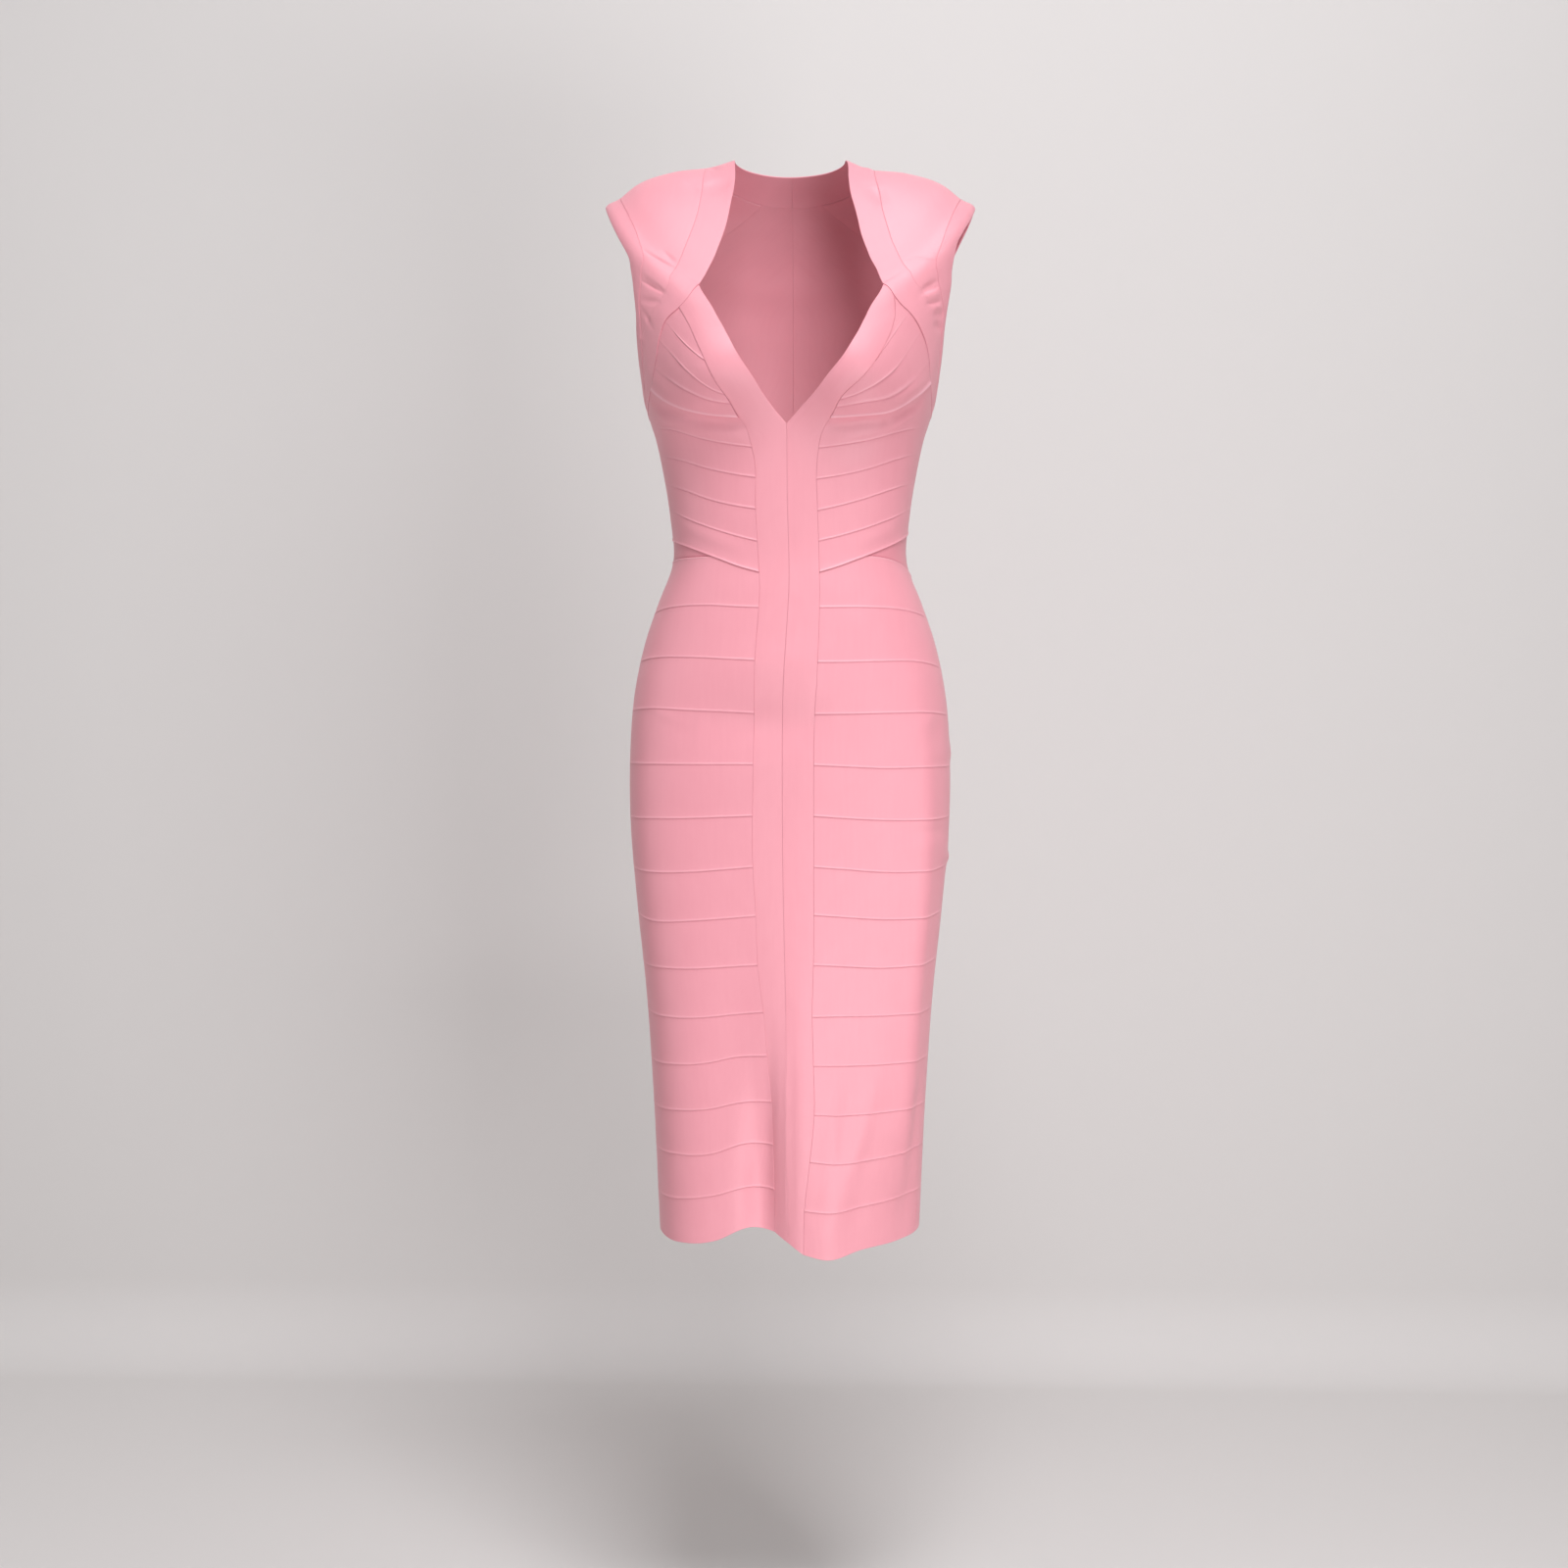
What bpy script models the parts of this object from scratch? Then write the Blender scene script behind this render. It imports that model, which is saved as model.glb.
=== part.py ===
"""A knee-length bodycon dress of knitted bandage cloth, hollow, in the form it has when worn.

Metres, +Z up. The wearer faces -Y and the wearer's left is at +X. The origin lies between the
shoulders, at the height where they carry the dress.

Every piece is a patch of one surface, body(angle, level). The angle goes round the wearer: 0 at
the centre front, 90 at the left side, 180 at the centre back, and negative on the right. The
level runs down the dress from the neck opening. Tables give angles in degrees and levels in
millimetres, and each side's own tables count their angles away from the centre front.
"""

import bpy
import numpy as np

MM = 0.001

# ------------------------------------------------------------------ driving dimensions
CLOTH = 2.0 * MM            # one wall of the doubled knit
SEAM_GAP = 0.3 * MM         # between two pieces that are sewn edge to edge
RIDGE = 0.9 * MM            # height of a raised band seam
RIDGE_RISE = 3.5 * MM       # from the ridge up to where its swell begins
RIDGE_FALL = 1.5 * MM       # from the ridge down to its foot
BAND_STAND = 0.5 * MM       # how far the folded edge bands stand above the panels
LONGEST_MITRE = 3.0         # at a sharp corner, in half seam gaps

# ------------------------------------------------------------------ rings round the body
# Below the underarm a ring is level. Above it the rings climb over the shoulders, and the rises
# say how far a ring's side, front and back stand above the height that its level gives.
RING_COLUMNS = (
    "level", "half_width", "front", "back", "side_y",
    "side_rise", "front_rise", "back_rise", "square",
)
RINGS = (
    (0, 57, 50, 56, 4, 18.5, -32, 16, 0.00),            # neck opening
    (22, 78, 63, 74, 4, 34, -38, 18, 0.00),
    (60, 120, 80, 93, 5, 67, -42, 22, 0.02),
    (100, 160, 94, 104, 6, 93, -38, 24, 0.03),
    (120, 178, 99, 107, 6, 98.5, -34, 22, 0.03),
    (135, 190, 103, 109, 5, 106, -30, 20, 0.03),      # shoulder tips
    (170, 187, 106, 110, 3, 84, -20, 12, 0.02),
    (205, 167, 105, 108, 0, 44, -8, 6, 0.02),
    (242, 147, 99, 103, 0, 0, 0, 0, 0.03),            # underarm
    (271, 138, 94, 98, 0, 0, 0, 0, 0.03),
    (303, 131, 90, 91, 0, 0, 0, 0, 0.03),
    (350, 123.5, 87, 80, 0, 0, 0, 0, 0.03),
    (397, 120.5, 86, 74, 0, 0, 0, 0, 0.03),           # waist
    (440, 136, 91, 84, 0, 0, 0, 0, 0.03),
    (475, 148, 95, 98, 0, 0, 0, 0, 0.03),
    (524, 159, 98, 111, 0, 0, 0, 0, 0.04),
    (600, 165, 97, 118, 0, 0, 0, 0, 0.05),           # hips
    (660, 164.5, 96, 115, 0, 0, 0, 0, 0.055),
    (750, 157, 96, 104, 0, 0, 0, 0, 0.06),
    (840, 147.5, 97, 94, 0, 0, 0, 0, 0.06),
    (940, 140.5, 99, 86, 0, 0, 0, 0, 0.06),
    (1100, 133, 94, 78, 0, 0, 0, 0, 0.06),            # just below the hem
)
BUST = {"x": 79 * MM, "z": -221 * MM, "push": 36 * MM, "inner": 62 * MM, "outer": 57 * MM,
        "above": 58 * MM, "below": 46 * MM}
# Swells and folds of the front skirt, each growing from one level to the other
FOLD_COLUMNS = ("x", "half_width", "forward", "starts", "full")
FOLDS = (
    (-95, 46, 8, 640, 1060),        # swell over the right knee
    (12, 46, 14, 640, 980),         # cloth stretched across between the thighs
    (-21, 20, -14, 860, 1060),      # trough between the knees
    (44, 26, 7, 960, 1100),         # ridge over the left knee
    (122, 30, -12, 960, 1070),      # hollow outside the left knee
)
FRONT_TURN = 0.45                   # cosine from which a front fold has its full depth
LEFT_DROP = 3.8 * MM                # how much lower the left shoulder lies than the right
DROP_TURN = (0.2, 0.9)              # sine between which the drop grows round the shoulder
DROP_GROWS = (-10 * MM, 30 * MM)    # levels between which it grows, and fades again
DROP_FADES = (130 * MM, 235 * MM)

# ------------------------------------------------------------------ edges and seams, by side
V_POINT = 268                       # level of the V neckline's point
CENTRE_SEAM = (                     # level, angle towards the wearer's left
    (V_POINT, 0.0), (333, 0.1), (429.9, 0.8), (478.9, -0.2), (526.9, -1), (624, -1.2),
    (721.1, -1), (817.2, -0.4), (875, -0), (942, 0), (994.4, -0), (1035.5, 0.3),
    (1093.1, 1.1),
)
V_NECKLINE = {                      # level, angle
    "right": (
        (122.3, 26), (137.8, 21), (160, 18), (177.4, 16.4), (199.9, 14.6), (223.9, 10.7),
        (244.7, 7), (255.9, 4), (V_POINT, 0),
    ),
    "left": (
        (128, 28), (145.7, 23.5), (162.4, 22.1), (184.5, 20.4), (205.5, 18), (222.1, 14.1),
        (241.1, 9.4), (254, 5), (262.6, 2), (V_POINT, 0),
    ),
}
BAND_EDGE = {                       # outer edge of the centre band: level, angle
    "right": (
        (163, 31.7), (175, 29.8), (201.3, 28.1), (233.8, 23.9), (248.8, 20.2),
        (262.2, 17.7), (271.8, 15.3), (284.4, 14), (298.1, 13), (352, 13.1), (391, 12.6),
        (429.9, 10.6), (488.9, 10.3), (556.9, 9.7), (615, 9.6), (702.1, 9.7), (755, 9),
        (803.6, 8.7), (861.7, 6.8), (905, 5.9), (940.2, 5), (981.9, 4.7), (1027.6, 4.1),
        (1087.8, 4.1),
    ),
    "left": (
        (150.3, 30.8), (177.8, 33.3), (200.4, 33.3), (214.5, 31.2), (229.5, 26.7),
        (242, 20.9), (261.3, 16.7), (276.6, 13.4), (298.1, 12), (352, 12.7), (391, 13.7),
        (449.9, 12), (507.9, 9.8), (555.9, 8.3), (614, 7.7), (706.1, 7.7), (803.4, 8.1),
        (850.6, 8), (899.1, 8.6), (949.3, 9.1), (996.4, 7.8), (1044.8, 6.1), (1097.5, 5.9),
    ),
}
# The band's rows slant down from the V neckline: level at its outer edge, level at its inner edge
BAND_SLANT = {
    "right": ((163, 122.3), (190, 162), (215, 193), (240, 222), (262, 246), (275, 258),
              (287, V_POINT), (300, 284), (330, 324), (352, 351), (391, 391)),
    "left": ((150.3, 128), (180, 158), (208, 190), (235, 218), (262, 246), (275, 258),
             (288, V_POINT), (300, 284), (330, 324), (352, 351), (391, 391)),
}
CUP_SEAM = {                        # strap over the cup's outer side: level, angle
    "right": (
        (122.3, 26), (143, 27.1), (163, 31.7), (187.5, 40.7), (204.9, 47.3), (219.1, 52.8),
        (232.3, 61.3), (239, 70), (244, 79), (248, 90),
    ),
    "left": (
        (128, 28), (150.3, 30.8), (175.7, 38.4), (197, 47.9), (207.6, 53.7), (219, 60.3),
        (230, 67), (238, 75), (243.5, 82), (248, 90),
    ),
}
STRAP_COLUMNS = ("seam_level", "outer_angle", "outer_level")
STRAP = {                           # outer edge of the neck band beside the cup seam
    "right": (
        (122.3, 34.6, 126.1), (143, 34.5, 143.7), (163, 37.8, 159.6), (185.5, 43.9, 178.6),
        (203.8, 51.3, 193.8), (222.2, 61, 208),
    ),
    "left": (
        (128, 36.6, 129), (150.3, 37.5, 145.4), (159.3, 39.2, 152.4), (176.8, 43.4, 166.1),
        (199.1, 53.7, 190), (219.5, 66, 205.5),
    ),
}
NECK_BAND_COLUMNS = ("inner_angle", "inner_level", "outer_angle", "outer_level")
NECK_BAND_FRONT = {                 # from the neckline's corner at the strap to the shoulder
    "right": (
        (26, 122.3, 34.6, 126.1), (26.1, 102.4, 36, 105.1), (27.6, 79.2, 40, 79.7),
        (32.3, 51.1, 46, 60.7), (42.2, 28, 54.6, 47.2), (52.4, 12.9, 64.5, 39),
        (63.8, 5.1, 73.4, 33.4), (77, 1.2, 81.5, 31), (90, 0, 90, 30),
    ),
    "left": (
        (28, 128, 36.6, 129), (28.9, 109.2, 37.4, 110.8), (30, 88, 40.1, 88.5),
        (34.7, 59.7, 47.3, 64), (45.8, 31.8, 57.1, 48.3), (56.7, 16.7, 65.5, 38.7),
        (66.5, 9.5, 74, 33.5), (78.5, 3.5, 82, 31), (90, 0, 90, 30),
    ),
}
NECK_BAND_LEVEL = 30                # its outer edge from the shoulder round the back
ARMHOLE_COLUMNS = ("edge_angle", "edge_level", "inner_angle", "inner_level")
ARMHOLE_FRONT = {                   # the armhole and its band, from the underarm to the shoulder
    "right": (
        (90, 235.5, 90, 241.8), (82, 233, 80, 239), (76, 228.3, 73, 232.5),
        (70.3, 217.5, 67, 222.5), (64.5, 204.5, 61, 208), (58.5, 190.9, 56, 191.9),
        (54.8, 175.9, 50.3, 171.9), (53.3, 161.1, 46.8, 154.7), (53.4, 150.3, 45.3, 137),
        (61.1, 143.9, 52.6, 125), (70.2, 139.7, 62.7, 119.8), (80, 137, 77, 118.2),
        (90, 135, 90, 118),
    ),
    "left": (
        (90, 235.5, 90, 241.8), (84.5, 232, 83, 238), (79, 225, 77, 228.5),
        (74, 216, 71.5, 217), (69.3, 206.5, 66, 205.5), (64.3, 192, 60.5, 191),
        (60.8, 177, 54, 176.7), (58.2, 162.7, 49.5, 161), (58.6, 148.6, 46.9, 142.8),
        (63.1, 144.1, 54, 129.2), (72, 141.3, 64, 121.8), (80.5, 138.5, 77, 119),
        (90, 135, 90, 118),
    ),
}
STRAP_STATION = 4                   # row of ARMHOLE_FRONT where the yoke runs out to its point
YOKE_POINT = 0.03                   # blunt end of the yoke, as a share of the armhole line
ARMHOLE_BACK = (                    # from the shoulder to the underarm
    (90, 135, 90, 118), (104, 138, 108, 119), (116, 143, 123, 127), (123.5, 153, 131, 142),
    (126, 170, 133.5, 165), (123, 188, 130, 186), (116, 206, 121.5, 208),
    (107, 222, 110, 227.5), (98, 232, 99.5, 238.5), (90, 235.5, 90, 241.8),
)
YOKE_STATION = 4                    # row of ARMHOLE_BACK where the back yoke seam ends
YOKE_SEAM_TOP = 158                 # angle at which that seam leaves the neck band

# ------------------------------------------------------------------ band seams of the panels
# A row is its kind and its levels across the panel, from the centre band (0) to the side (1).
# A ridge is raised between two feet, an edge is raised to its end, and the others are plain.
ACROSS = (0, 0.10, 0.25, 0.50, 0.75, 1)
CUP_ROWS = {
    "right": (
        ("plain", 163, 163.3, 164, 165.1, 166.2, 167.5),
        ("plain", 179.2, 178.6, 177.8, 175.7, 173.8, 172.1),
        ("plain", 197.1, 195.9, 193.6, 188.9, 183.6, 177.7),
        ("ridge", 213.9, 212.2, 208.8, 202.1, 193.8, 185.4),
        ("ridge", 242.9, 241.1, 236.6, 226.1, 214.1, 203.8),
        ("ridge", 250.8, 249.8, 247, 238.9, 230, 222.2),
        ("edge", 263.5, 262.8, 261.2, 254.3, 244.3, 233.7),
    ),
    "left": (
        ("plain", 150.3, 150.8, 151.5, 152.8, 154.1, 155.3),
        ("plain", 172.6, 171.5, 169.8, 166.7, 163.7, 160.8),
        ("plain", 195, 192.8, 189.1, 182.1, 174.7, 167.4),
        ("ridge", 215.6, 212.2, 206.7, 195.9, 185.3, 177),
        ("ridge", 247.4, 245.9, 242.1, 233.5, 221.1, 199.1),
        ("ridge", 254.1, 252.8, 250, 244.5, 233.3, 219.5),
        ("edge", 264.1, 263.6, 262.3, 256.8, 242.8, 230.8),
    ),
}
BODICE_ROWS = {                     # below the cup's last row
    "right": (
        ("plain", 269.9, 268.5, 265.4, 258.2, 248.3, 239.2),
        ("plain", 276.6, 274.7, 270.8, 262.7, 252.8, 244.1),
        ("plain", 282.9, 280.6, 276.1, 266.6, 256.4, 248),
        ("ridge", 290.6, 287.9, 282.5, 270, 262.8, 258),
        ("ridge", 320, 317, 311.1, 299.1, 291.1, 286),
        ("ridge", 351, 348, 342, 329, 320, 315),
        ("ridge", 383, 378.5, 371, 358, 346.5, 338),
        ("edge", 414, 409, 400, 387.5, 379, 373),
    ),
    "left": (
        ("plain", 270.8, 269.4, 266.9, 259.7, 247.2, 236.2),
        ("plain", 277.6, 276.2, 272.7, 263.6, 252.8, 242.1),
        ("plain", 283.9, 282, 278.1, 267.9, 257.7, 248),
        ("ridge", 291.8, 289.3, 284.4, 272.8, 264.3, 259),
        ("ridge", 322, 319, 313.1, 300.1, 291.1, 286),
        ("ridge", 353, 349, 342, 329.5, 320.5, 315),
        ("ridge", 383, 379, 372, 359.5, 348.5, 341),
        ("edge", 414.3, 409, 400.3, 387.5, 376.5, 367),
    ),
}
HIP_ROWS = {                        # lower edge of the waist insert, across the same way
    "right": ("plain", 397, 397, 397, 396.5, 396.3, 396.5),
    "left": ("plain", 397, 397, 396.5, 398, 403.5, 411.5),
}
SKIRT_ROWS = {                      # below the waist
    "right": (
        ("ridge", 449.4, 448.4, 446.4, 446.4, 449, 452.6),
        ("ridge", 502.2, 500.9, 498.9, 497.4, 499, 502),
        ("ridge", 554.4, 552.9, 551.4, 548.9, 549.5, 551),
        ("ridge", 605, 605, 605, 604.5, 604, 604),
        ("ridge", 656.1, 657.1, 658.5, 659.1, 659, 658.5),
        ("ridge", 706.7, 709.1, 711.9, 713, 710.5, 707),
        ("ridge", 755.2, 757.5, 760.4, 762.4, 757.9, 753),
        ("ridge", 803.6, 805.4, 807.9, 808.6, 806.8, 803),
        ("ridge", 849.8, 852.3, 856.2, 857.5, 855, 852),
        ("ridge", 893, 894, 900.9, 904.6, 904.3, 902),
        ("ridge", 938.8, 939.1, 946.2, 950.1, 950, 948),
        ("ridge", 982, 980.6, 990.7, 993.9, 993.5, 991),
        ("ridge", 1026.6, 1024.6, 1032.5, 1038.7, 1039, 1037),
        ("plain", 1068.9, 1065.3, 1077.8, 1082.7, 1080, 1079),
    ),
    "left": (
        ("ridge", 449.6, 449.3, 448.9, 449.9, 453.5, 457),
        ("ridge", 504.2, 503.9, 502.9, 501.9, 505, 509),
        ("ridge", 555.5, 555.2, 554.4, 553.2, 554, 556),
        ("ridge", 605.8, 607, 608.7, 608, 607, 606),
        ("ridge", 656.1, 658.1, 660.1, 660.4, 658.6, 657),
        ("ridge", 706.6, 708.6, 711.5, 711.8, 708.5, 703.5),
        ("ridge", 754, 756, 758.5, 758.5, 754.9, 751),
        ("ridge", 803.1, 804.6, 806.8, 805.8, 802.8, 800),
        ("ridge", 854, 854.1, 854.5, 854.1, 852.7, 851),
        ("ridge", 901.8, 902.8, 903.1, 902.2, 901.5, 900),
        ("ridge", 949.8, 951.6, 951.1, 949.6, 948.8, 948),
        ("ridge", 996.1, 999.3, 997.8, 994, 991, 989),
        ("ridge", 1044.7, 1047.2, 1043.6, 1039.5, 1037.2, 1034),
        ("plain", 1088.2, 1093.7, 1087.2, 1083.8, 1081, 1078),
    ),
}
CENTRE_HEM = 1078
BACK_HEM = 1079
BACK_SHOULDER_ROWS = (              # kind, level at the outer edge, level at the centre back
    ("plain", NECK_BAND_LEVEL, NECK_BAND_LEVEL), ("ridge", 75, 73), ("ridge", 120, 116),
    ("plain", 165, 160), ("plain", 177, 172), ("plain", 192, 186), ("ridge", 210, 204),
    ("plain", 224, 220), ("plain", 232, 229), ("plain", 238, 236), ("plain", 241.8, 241),
)
BACK_SEAM_DROP = 3                  # how much lower a back seam is at the centre than the side

BODICE_COLUMNS = (0, 0.05, 0.10, 0.17, 0.24, 0.31, 0.40, 0.50, 0.62, 0.75, 0.88, 1)
SKIRT_COLUMNS = (0, 0.05, 0.10, 0.17, 0.24, 0.31, 0.36, 0.42, 0.50, 0.62, 0.75, 0.88, 1)
INSERT_POINT = 5                    # column of both panels at which the waist insert begins
CUP_COLUMNS = (0, 0.12, 0.26, 0.42, 0.58, 0.74, 0.88, 1)
BACK_COLUMNS = (0, 0.12, 0.28, 0.46, 0.64, 0.82, 1)
CENTRE_BAND_COLUMNS = (0, 0.34, 0.67, 1)
EDGING_COLUMNS = (0, 0.5, 1)
NECK_FRONT_ROWS = 10
NECK_SHOULDER_ROWS = 6

SIDES = {"right": -1, "left": 1}
CLOTH_COLOURS = {                   # linear, a tint for each kind of piece
    "centre_band": (0.84, 0.36, 0.42), "cup": (0.80, 0.33, 0.40),
    "bodice_front": (0.80, 0.34, 0.41), "waist_insert": (0.70, 0.27, 0.34),
    "skirt_front": (0.81, 0.35, 0.42), "bodice_back": (0.76, 0.31, 0.38),
    "skirt_back": (0.77, 0.32, 0.39), "neck_band": (0.87, 0.42, 0.48),
    "shoulder_yoke": (0.86, 0.40, 0.46), "armhole_band": (0.83, 0.37, 0.43),
}


# ------------------------------------------------------------------ curves and the surface
def smooth_curve(knots, values, at):
    """Cubic Hermite pieces through (knot, value), with slopes by central differences."""
    slopes = np.gradient(values, knots, axis=0)
    piece = np.clip(np.searchsorted(knots, at, side="right") - 1, 0, len(knots) - 2)
    step = knots[piece + 1] - knots[piece]
    t = (at - knots[piece]) / step
    if values.ndim > 1:
        step, t = step[:, None], t[:, None]
    return (values[piece] * (1 + 2 * t) * (1 - t) ** 2 + slopes[piece] * step * t * (1 - t) ** 2
            + values[piece + 1] * t * t * (3 - 2 * t) - slopes[piece + 1] * step * t * t * (1 - t))


def ease(value, start, end):
    """0 before start, 1 after end, and a smooth step between them."""
    t = np.clip((value - start) / (end - start), 0, 1)
    return t * t * (3 - 2 * t)


RING_TABLE = np.array(RINGS, float)
RING_TABLE[:, :-1] *= MM


def ring(level, column):
    """One of the named columns of the ring table, at any level."""
    return smooth_curve(RING_TABLE[:, 0], RING_TABLE[:, RING_COLUMNS.index(column)], level)


def body(angle, level):
    """Outer face of the cloth at arrays of angles (radians) and levels (metres).

    A ring is an ellipse squared by its third harmonic, of one depth in front and another
    behind, with the bust and the folds of the skirt pushed forward or back.
    """
    sine, cosine = np.sin(angle), np.cos(angle)
    square = ring(level, "square")
    in_front = cosine > 0
    depth = np.where(in_front, ring(level, "front"), ring(level, "back"))
    rise = np.where(in_front, ring(level, "front_rise"), ring(level, "back_rise"))
    x = ring(level, "half_width") * (sine + square * np.sin(3 * angle)) / (1 - square)
    y = (ring(level, "side_y") * sine**2
         - depth * (cosine - square * np.cos(3 * angle)) / (1 - square))
    z = -level + ring(level, "side_rise") * sine**2 + rise * cosine**2
    z = z - (LEFT_DROP * ease(sine, *DROP_TURN) * ease(level, *DROP_GROWS)
             * (1 - ease(level, *DROP_FADES)))
    facing = ease(cosine, 0, FRONT_TURN)
    aside, above = np.abs(x) - BUST["x"], z - BUST["z"]
    reach_x = np.where(aside < 0, BUST["inner"], BUST["outer"])
    reach_z = np.where(above > 0, BUST["above"], BUST["below"])
    y = y - BUST["push"] * facing * np.exp(-((aside / reach_x) ** 2) - (above / reach_z) ** 2)
    for fold in FOLDS:
        at_x, half_width, forward, starts, full = (value * MM for value in fold)
        grown = facing * ease(level, starts, full)
        y = y - forward * grown * np.exp(-(((x - at_x) / half_width) ** 2))
    return np.stack([x, y, z], axis=-1)


def outward(angle, level):
    """Unit normals of the surface, from small steps in angle and level."""
    step = 1e-4
    round_it = body(angle + step, level) - body(angle - step, level)
    down_it = body(angle, level + step) - body(angle, level - step)
    normal = np.cross(down_it, round_it)
    return normal / np.linalg.norm(normal, axis=-1, keepdims=True)


def edge_angle(table, level):
    """Angle in degrees of an edge that a table gives by level."""
    knots, angles = np.array(table, float).T
    return smooth_curve(knots, angles, level)


def by_station(table, station):
    """All columns of a table at fractional row numbers, smoothly between its rows."""
    rows = np.array(table, float)
    return smooth_curve(np.arange(len(rows), dtype=float), rows, station)


def length_shares(angles, levels):
    """How far along a line on the surface each of its points lies, from 0 to 1."""
    place = body(np.radians(angles), levels * MM)
    lengths = np.linalg.norm(np.diff(place, axis=0), axis=1)
    return np.concatenate([[0], np.cumsum(lengths)]) / lengths.sum()


def stations_at(table, first, last, shares):
    """Stations at shares of the length of an armhole table's inner line between two rows."""
    stations = np.linspace(first, last, 60)
    rows = by_station(table, stations)
    return np.interp(shares, length_shares(rows[:, 2], rows[:, 3]), stations)


# ------------------------------------------------------------------ cloth walls
def seam_steps(face, normal):
    """Steps within the surface that open half a seam gap all round a grid.

    Each is square to its edge, and the corners are mitred.
    """
    steps = np.zeros_like(face)
    for line, inside in ((np.s_[0, :], np.s_[1, :]), (np.s_[-1, :], np.s_[-2, :]),
                         (np.s_[:, 0], np.s_[:, 1]), (np.s_[:, -1], np.s_[:, -2])):
        square = np.cross(normal[line], np.gradient(face[line], axis=0))
        square /= np.linalg.norm(square, axis=1, keepdims=True)
        steps[line] += square * np.sign((square * (face[inside] - face[line])).sum())
    corners = np.ix_((0, -1), (0, -1))
    size = (steps[corners] ** 2).sum(axis=-1, keepdims=True)
    steps[corners] *= 2 / np.maximum(size, (2 / LONGEST_MITRE) ** 2)
    return steps * SEAM_GAP / 2


def cloth_material(kind):
    """Plain knit in the piece's tint."""
    material = bpy.data.materials.get(kind) or bpy.data.materials.new(kind)
    material.use_nodes = True
    shader = material.node_tree.nodes["Principled BSDF"]
    shader.inputs["Base Color"].default_value = (*CLOTH_COLOURS[kind], 1)
    shader.inputs["Roughness"].default_value = 0.65
    shader.inputs["Metallic"].default_value = 0
    return material


AS_IS, REVERSED = (0, 1, 2, 3), (0, 3, 2, 1)    # both split a face between corners 0 and 2


def sew_piece(kind, side, angles, levels, raised):
    """Make one piece: a closed wall on a grid of angles (degrees), levels (mm) and heights.

    The inside is the surface moved in by the cloth and the outside is the surface moved out
    by the raised heights, so the inside stays plain under the ridges.
    """
    angle, level = np.radians(angles) * SIDES[side], levels * MM
    face, normal = body(angle, level), outward(angle, level)
    steps = seam_steps(face, normal)
    outer = face + steps + normal * raised[..., None]
    inner = face + steps - normal * CLOTH
    rows, columns = angles.shape
    count = rows * columns
    number = np.arange(count).reshape(rows, columns)
    cells = np.stack([number[:-1, :-1], number[1:, :-1], number[1:, 1:], number[:-1, 1:]], -1)
    cells = cells.reshape(-1, 4)
    faces = [cells, cells[:, REVERSED] + count]
    for line, order in ((number[0, :], AS_IS), (number[:, -1], AS_IS),
                        (number[-1, :], REVERSED), (number[:, 0], REVERSED)):
        start, end = line[:-1], line[1:]
        faces.append(np.stack([start, end, end + count, start + count], -1)[:, order])
    faces = np.concatenate(faces)
    down, round_it = outer[1:, :-1] - outer[:-1, :-1], outer[:-1, 1:] - outer[:-1, :-1]
    if (np.cross(down, round_it) * normal[:-1, :-1]).sum() < 0:
        faces = faces[:, REVERSED]
    mesh = bpy.data.meshes.new(f"{kind}_{side}")
    points = np.concatenate([outer.reshape(-1, 3), inner.reshape(-1, 3)])
    mesh.from_pydata(points.tolist(), [], faces.tolist())
    mesh.materials.append(cloth_material(kind))
    bpy.context.collection.objects.link(bpy.data.objects.new(f"{kind}_{side}", mesh))


ROW_PROFILES = {                    # offset below the seam (mm) and height of each grid row
    "plain": ((0, 0),),
    "edge": ((-RIDGE_RISE / MM, 0), (0, RIDGE)),
    "ridge": ((-RIDGE_RISE / MM, 0), (0, RIDGE), (RIDGE_FALL / MM, 0)),
}


def across(row, columns):
    """Levels of a table row at a panel's columns."""
    return smooth_curve(np.array(ACROSS), np.array(row[1:], float), np.array(columns))


def grid_rows(kinds, lines):
    """Levels and heights of a panel's grid, from the kind and the line of each of its seams."""
    levels, heights = [], []
    for kind, line in zip(kinds, lines):
        for offset, height in ROW_PROFILES[kind]:
            levels.append(line + offset)
            heights.append(np.full(len(line), float(height)))
    return np.array(levels), np.array(heights)


def front_rows(rows, columns):
    """Levels and heights of a front panel's grid, from its table rows."""
    return grid_rows([row[0] for row in rows], [across(row, columns) for row in rows])


def between(near, far, columns):
    """Grid of values going straight from near to far, row by row."""
    return near[:, None] + np.array(columns) * (far - near)[:, None]


# ------------------------------------------------------------------ front of the dress
def cup(side):
    """Bust cup, a fan of raised seams. Returns the levels at its inner and outer edges."""
    levels, raised = front_rows(CUP_ROWS[side], CUP_COLUMNS)
    angles = between(edge_angle(BAND_EDGE[side], levels[:, 0]),
                     edge_angle(CUP_SEAM[side], levels[:, -1]), CUP_COLUMNS)
    sew_piece("cup", side, angles, levels, raised)
    return levels[:, 0], levels[:, -1]


def bodice_front(side):
    """Front bodice down to the waist. Returns the levels at its inner and outer edges.

    The outer edge follows the cup seam down to the underarm, and then the side seam.
    """
    rows = (("plain", *CUP_ROWS[side][-1][1:]),) + BODICE_ROWS[side]
    levels, raised = front_rows(rows, BODICE_COLUMNS)
    underarm = CUP_SEAM[side][-1][0]
    on_cup_seam = edge_angle(CUP_SEAM[side], np.minimum(levels[:, -1], underarm))
    angles = between(edge_angle(BAND_EDGE[side], levels[:, 0]), on_cup_seam, BODICE_COLUMNS)
    sew_piece("bodice_front", side, angles, levels, raised)
    return levels[:, 0], levels[:, -1]


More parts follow.
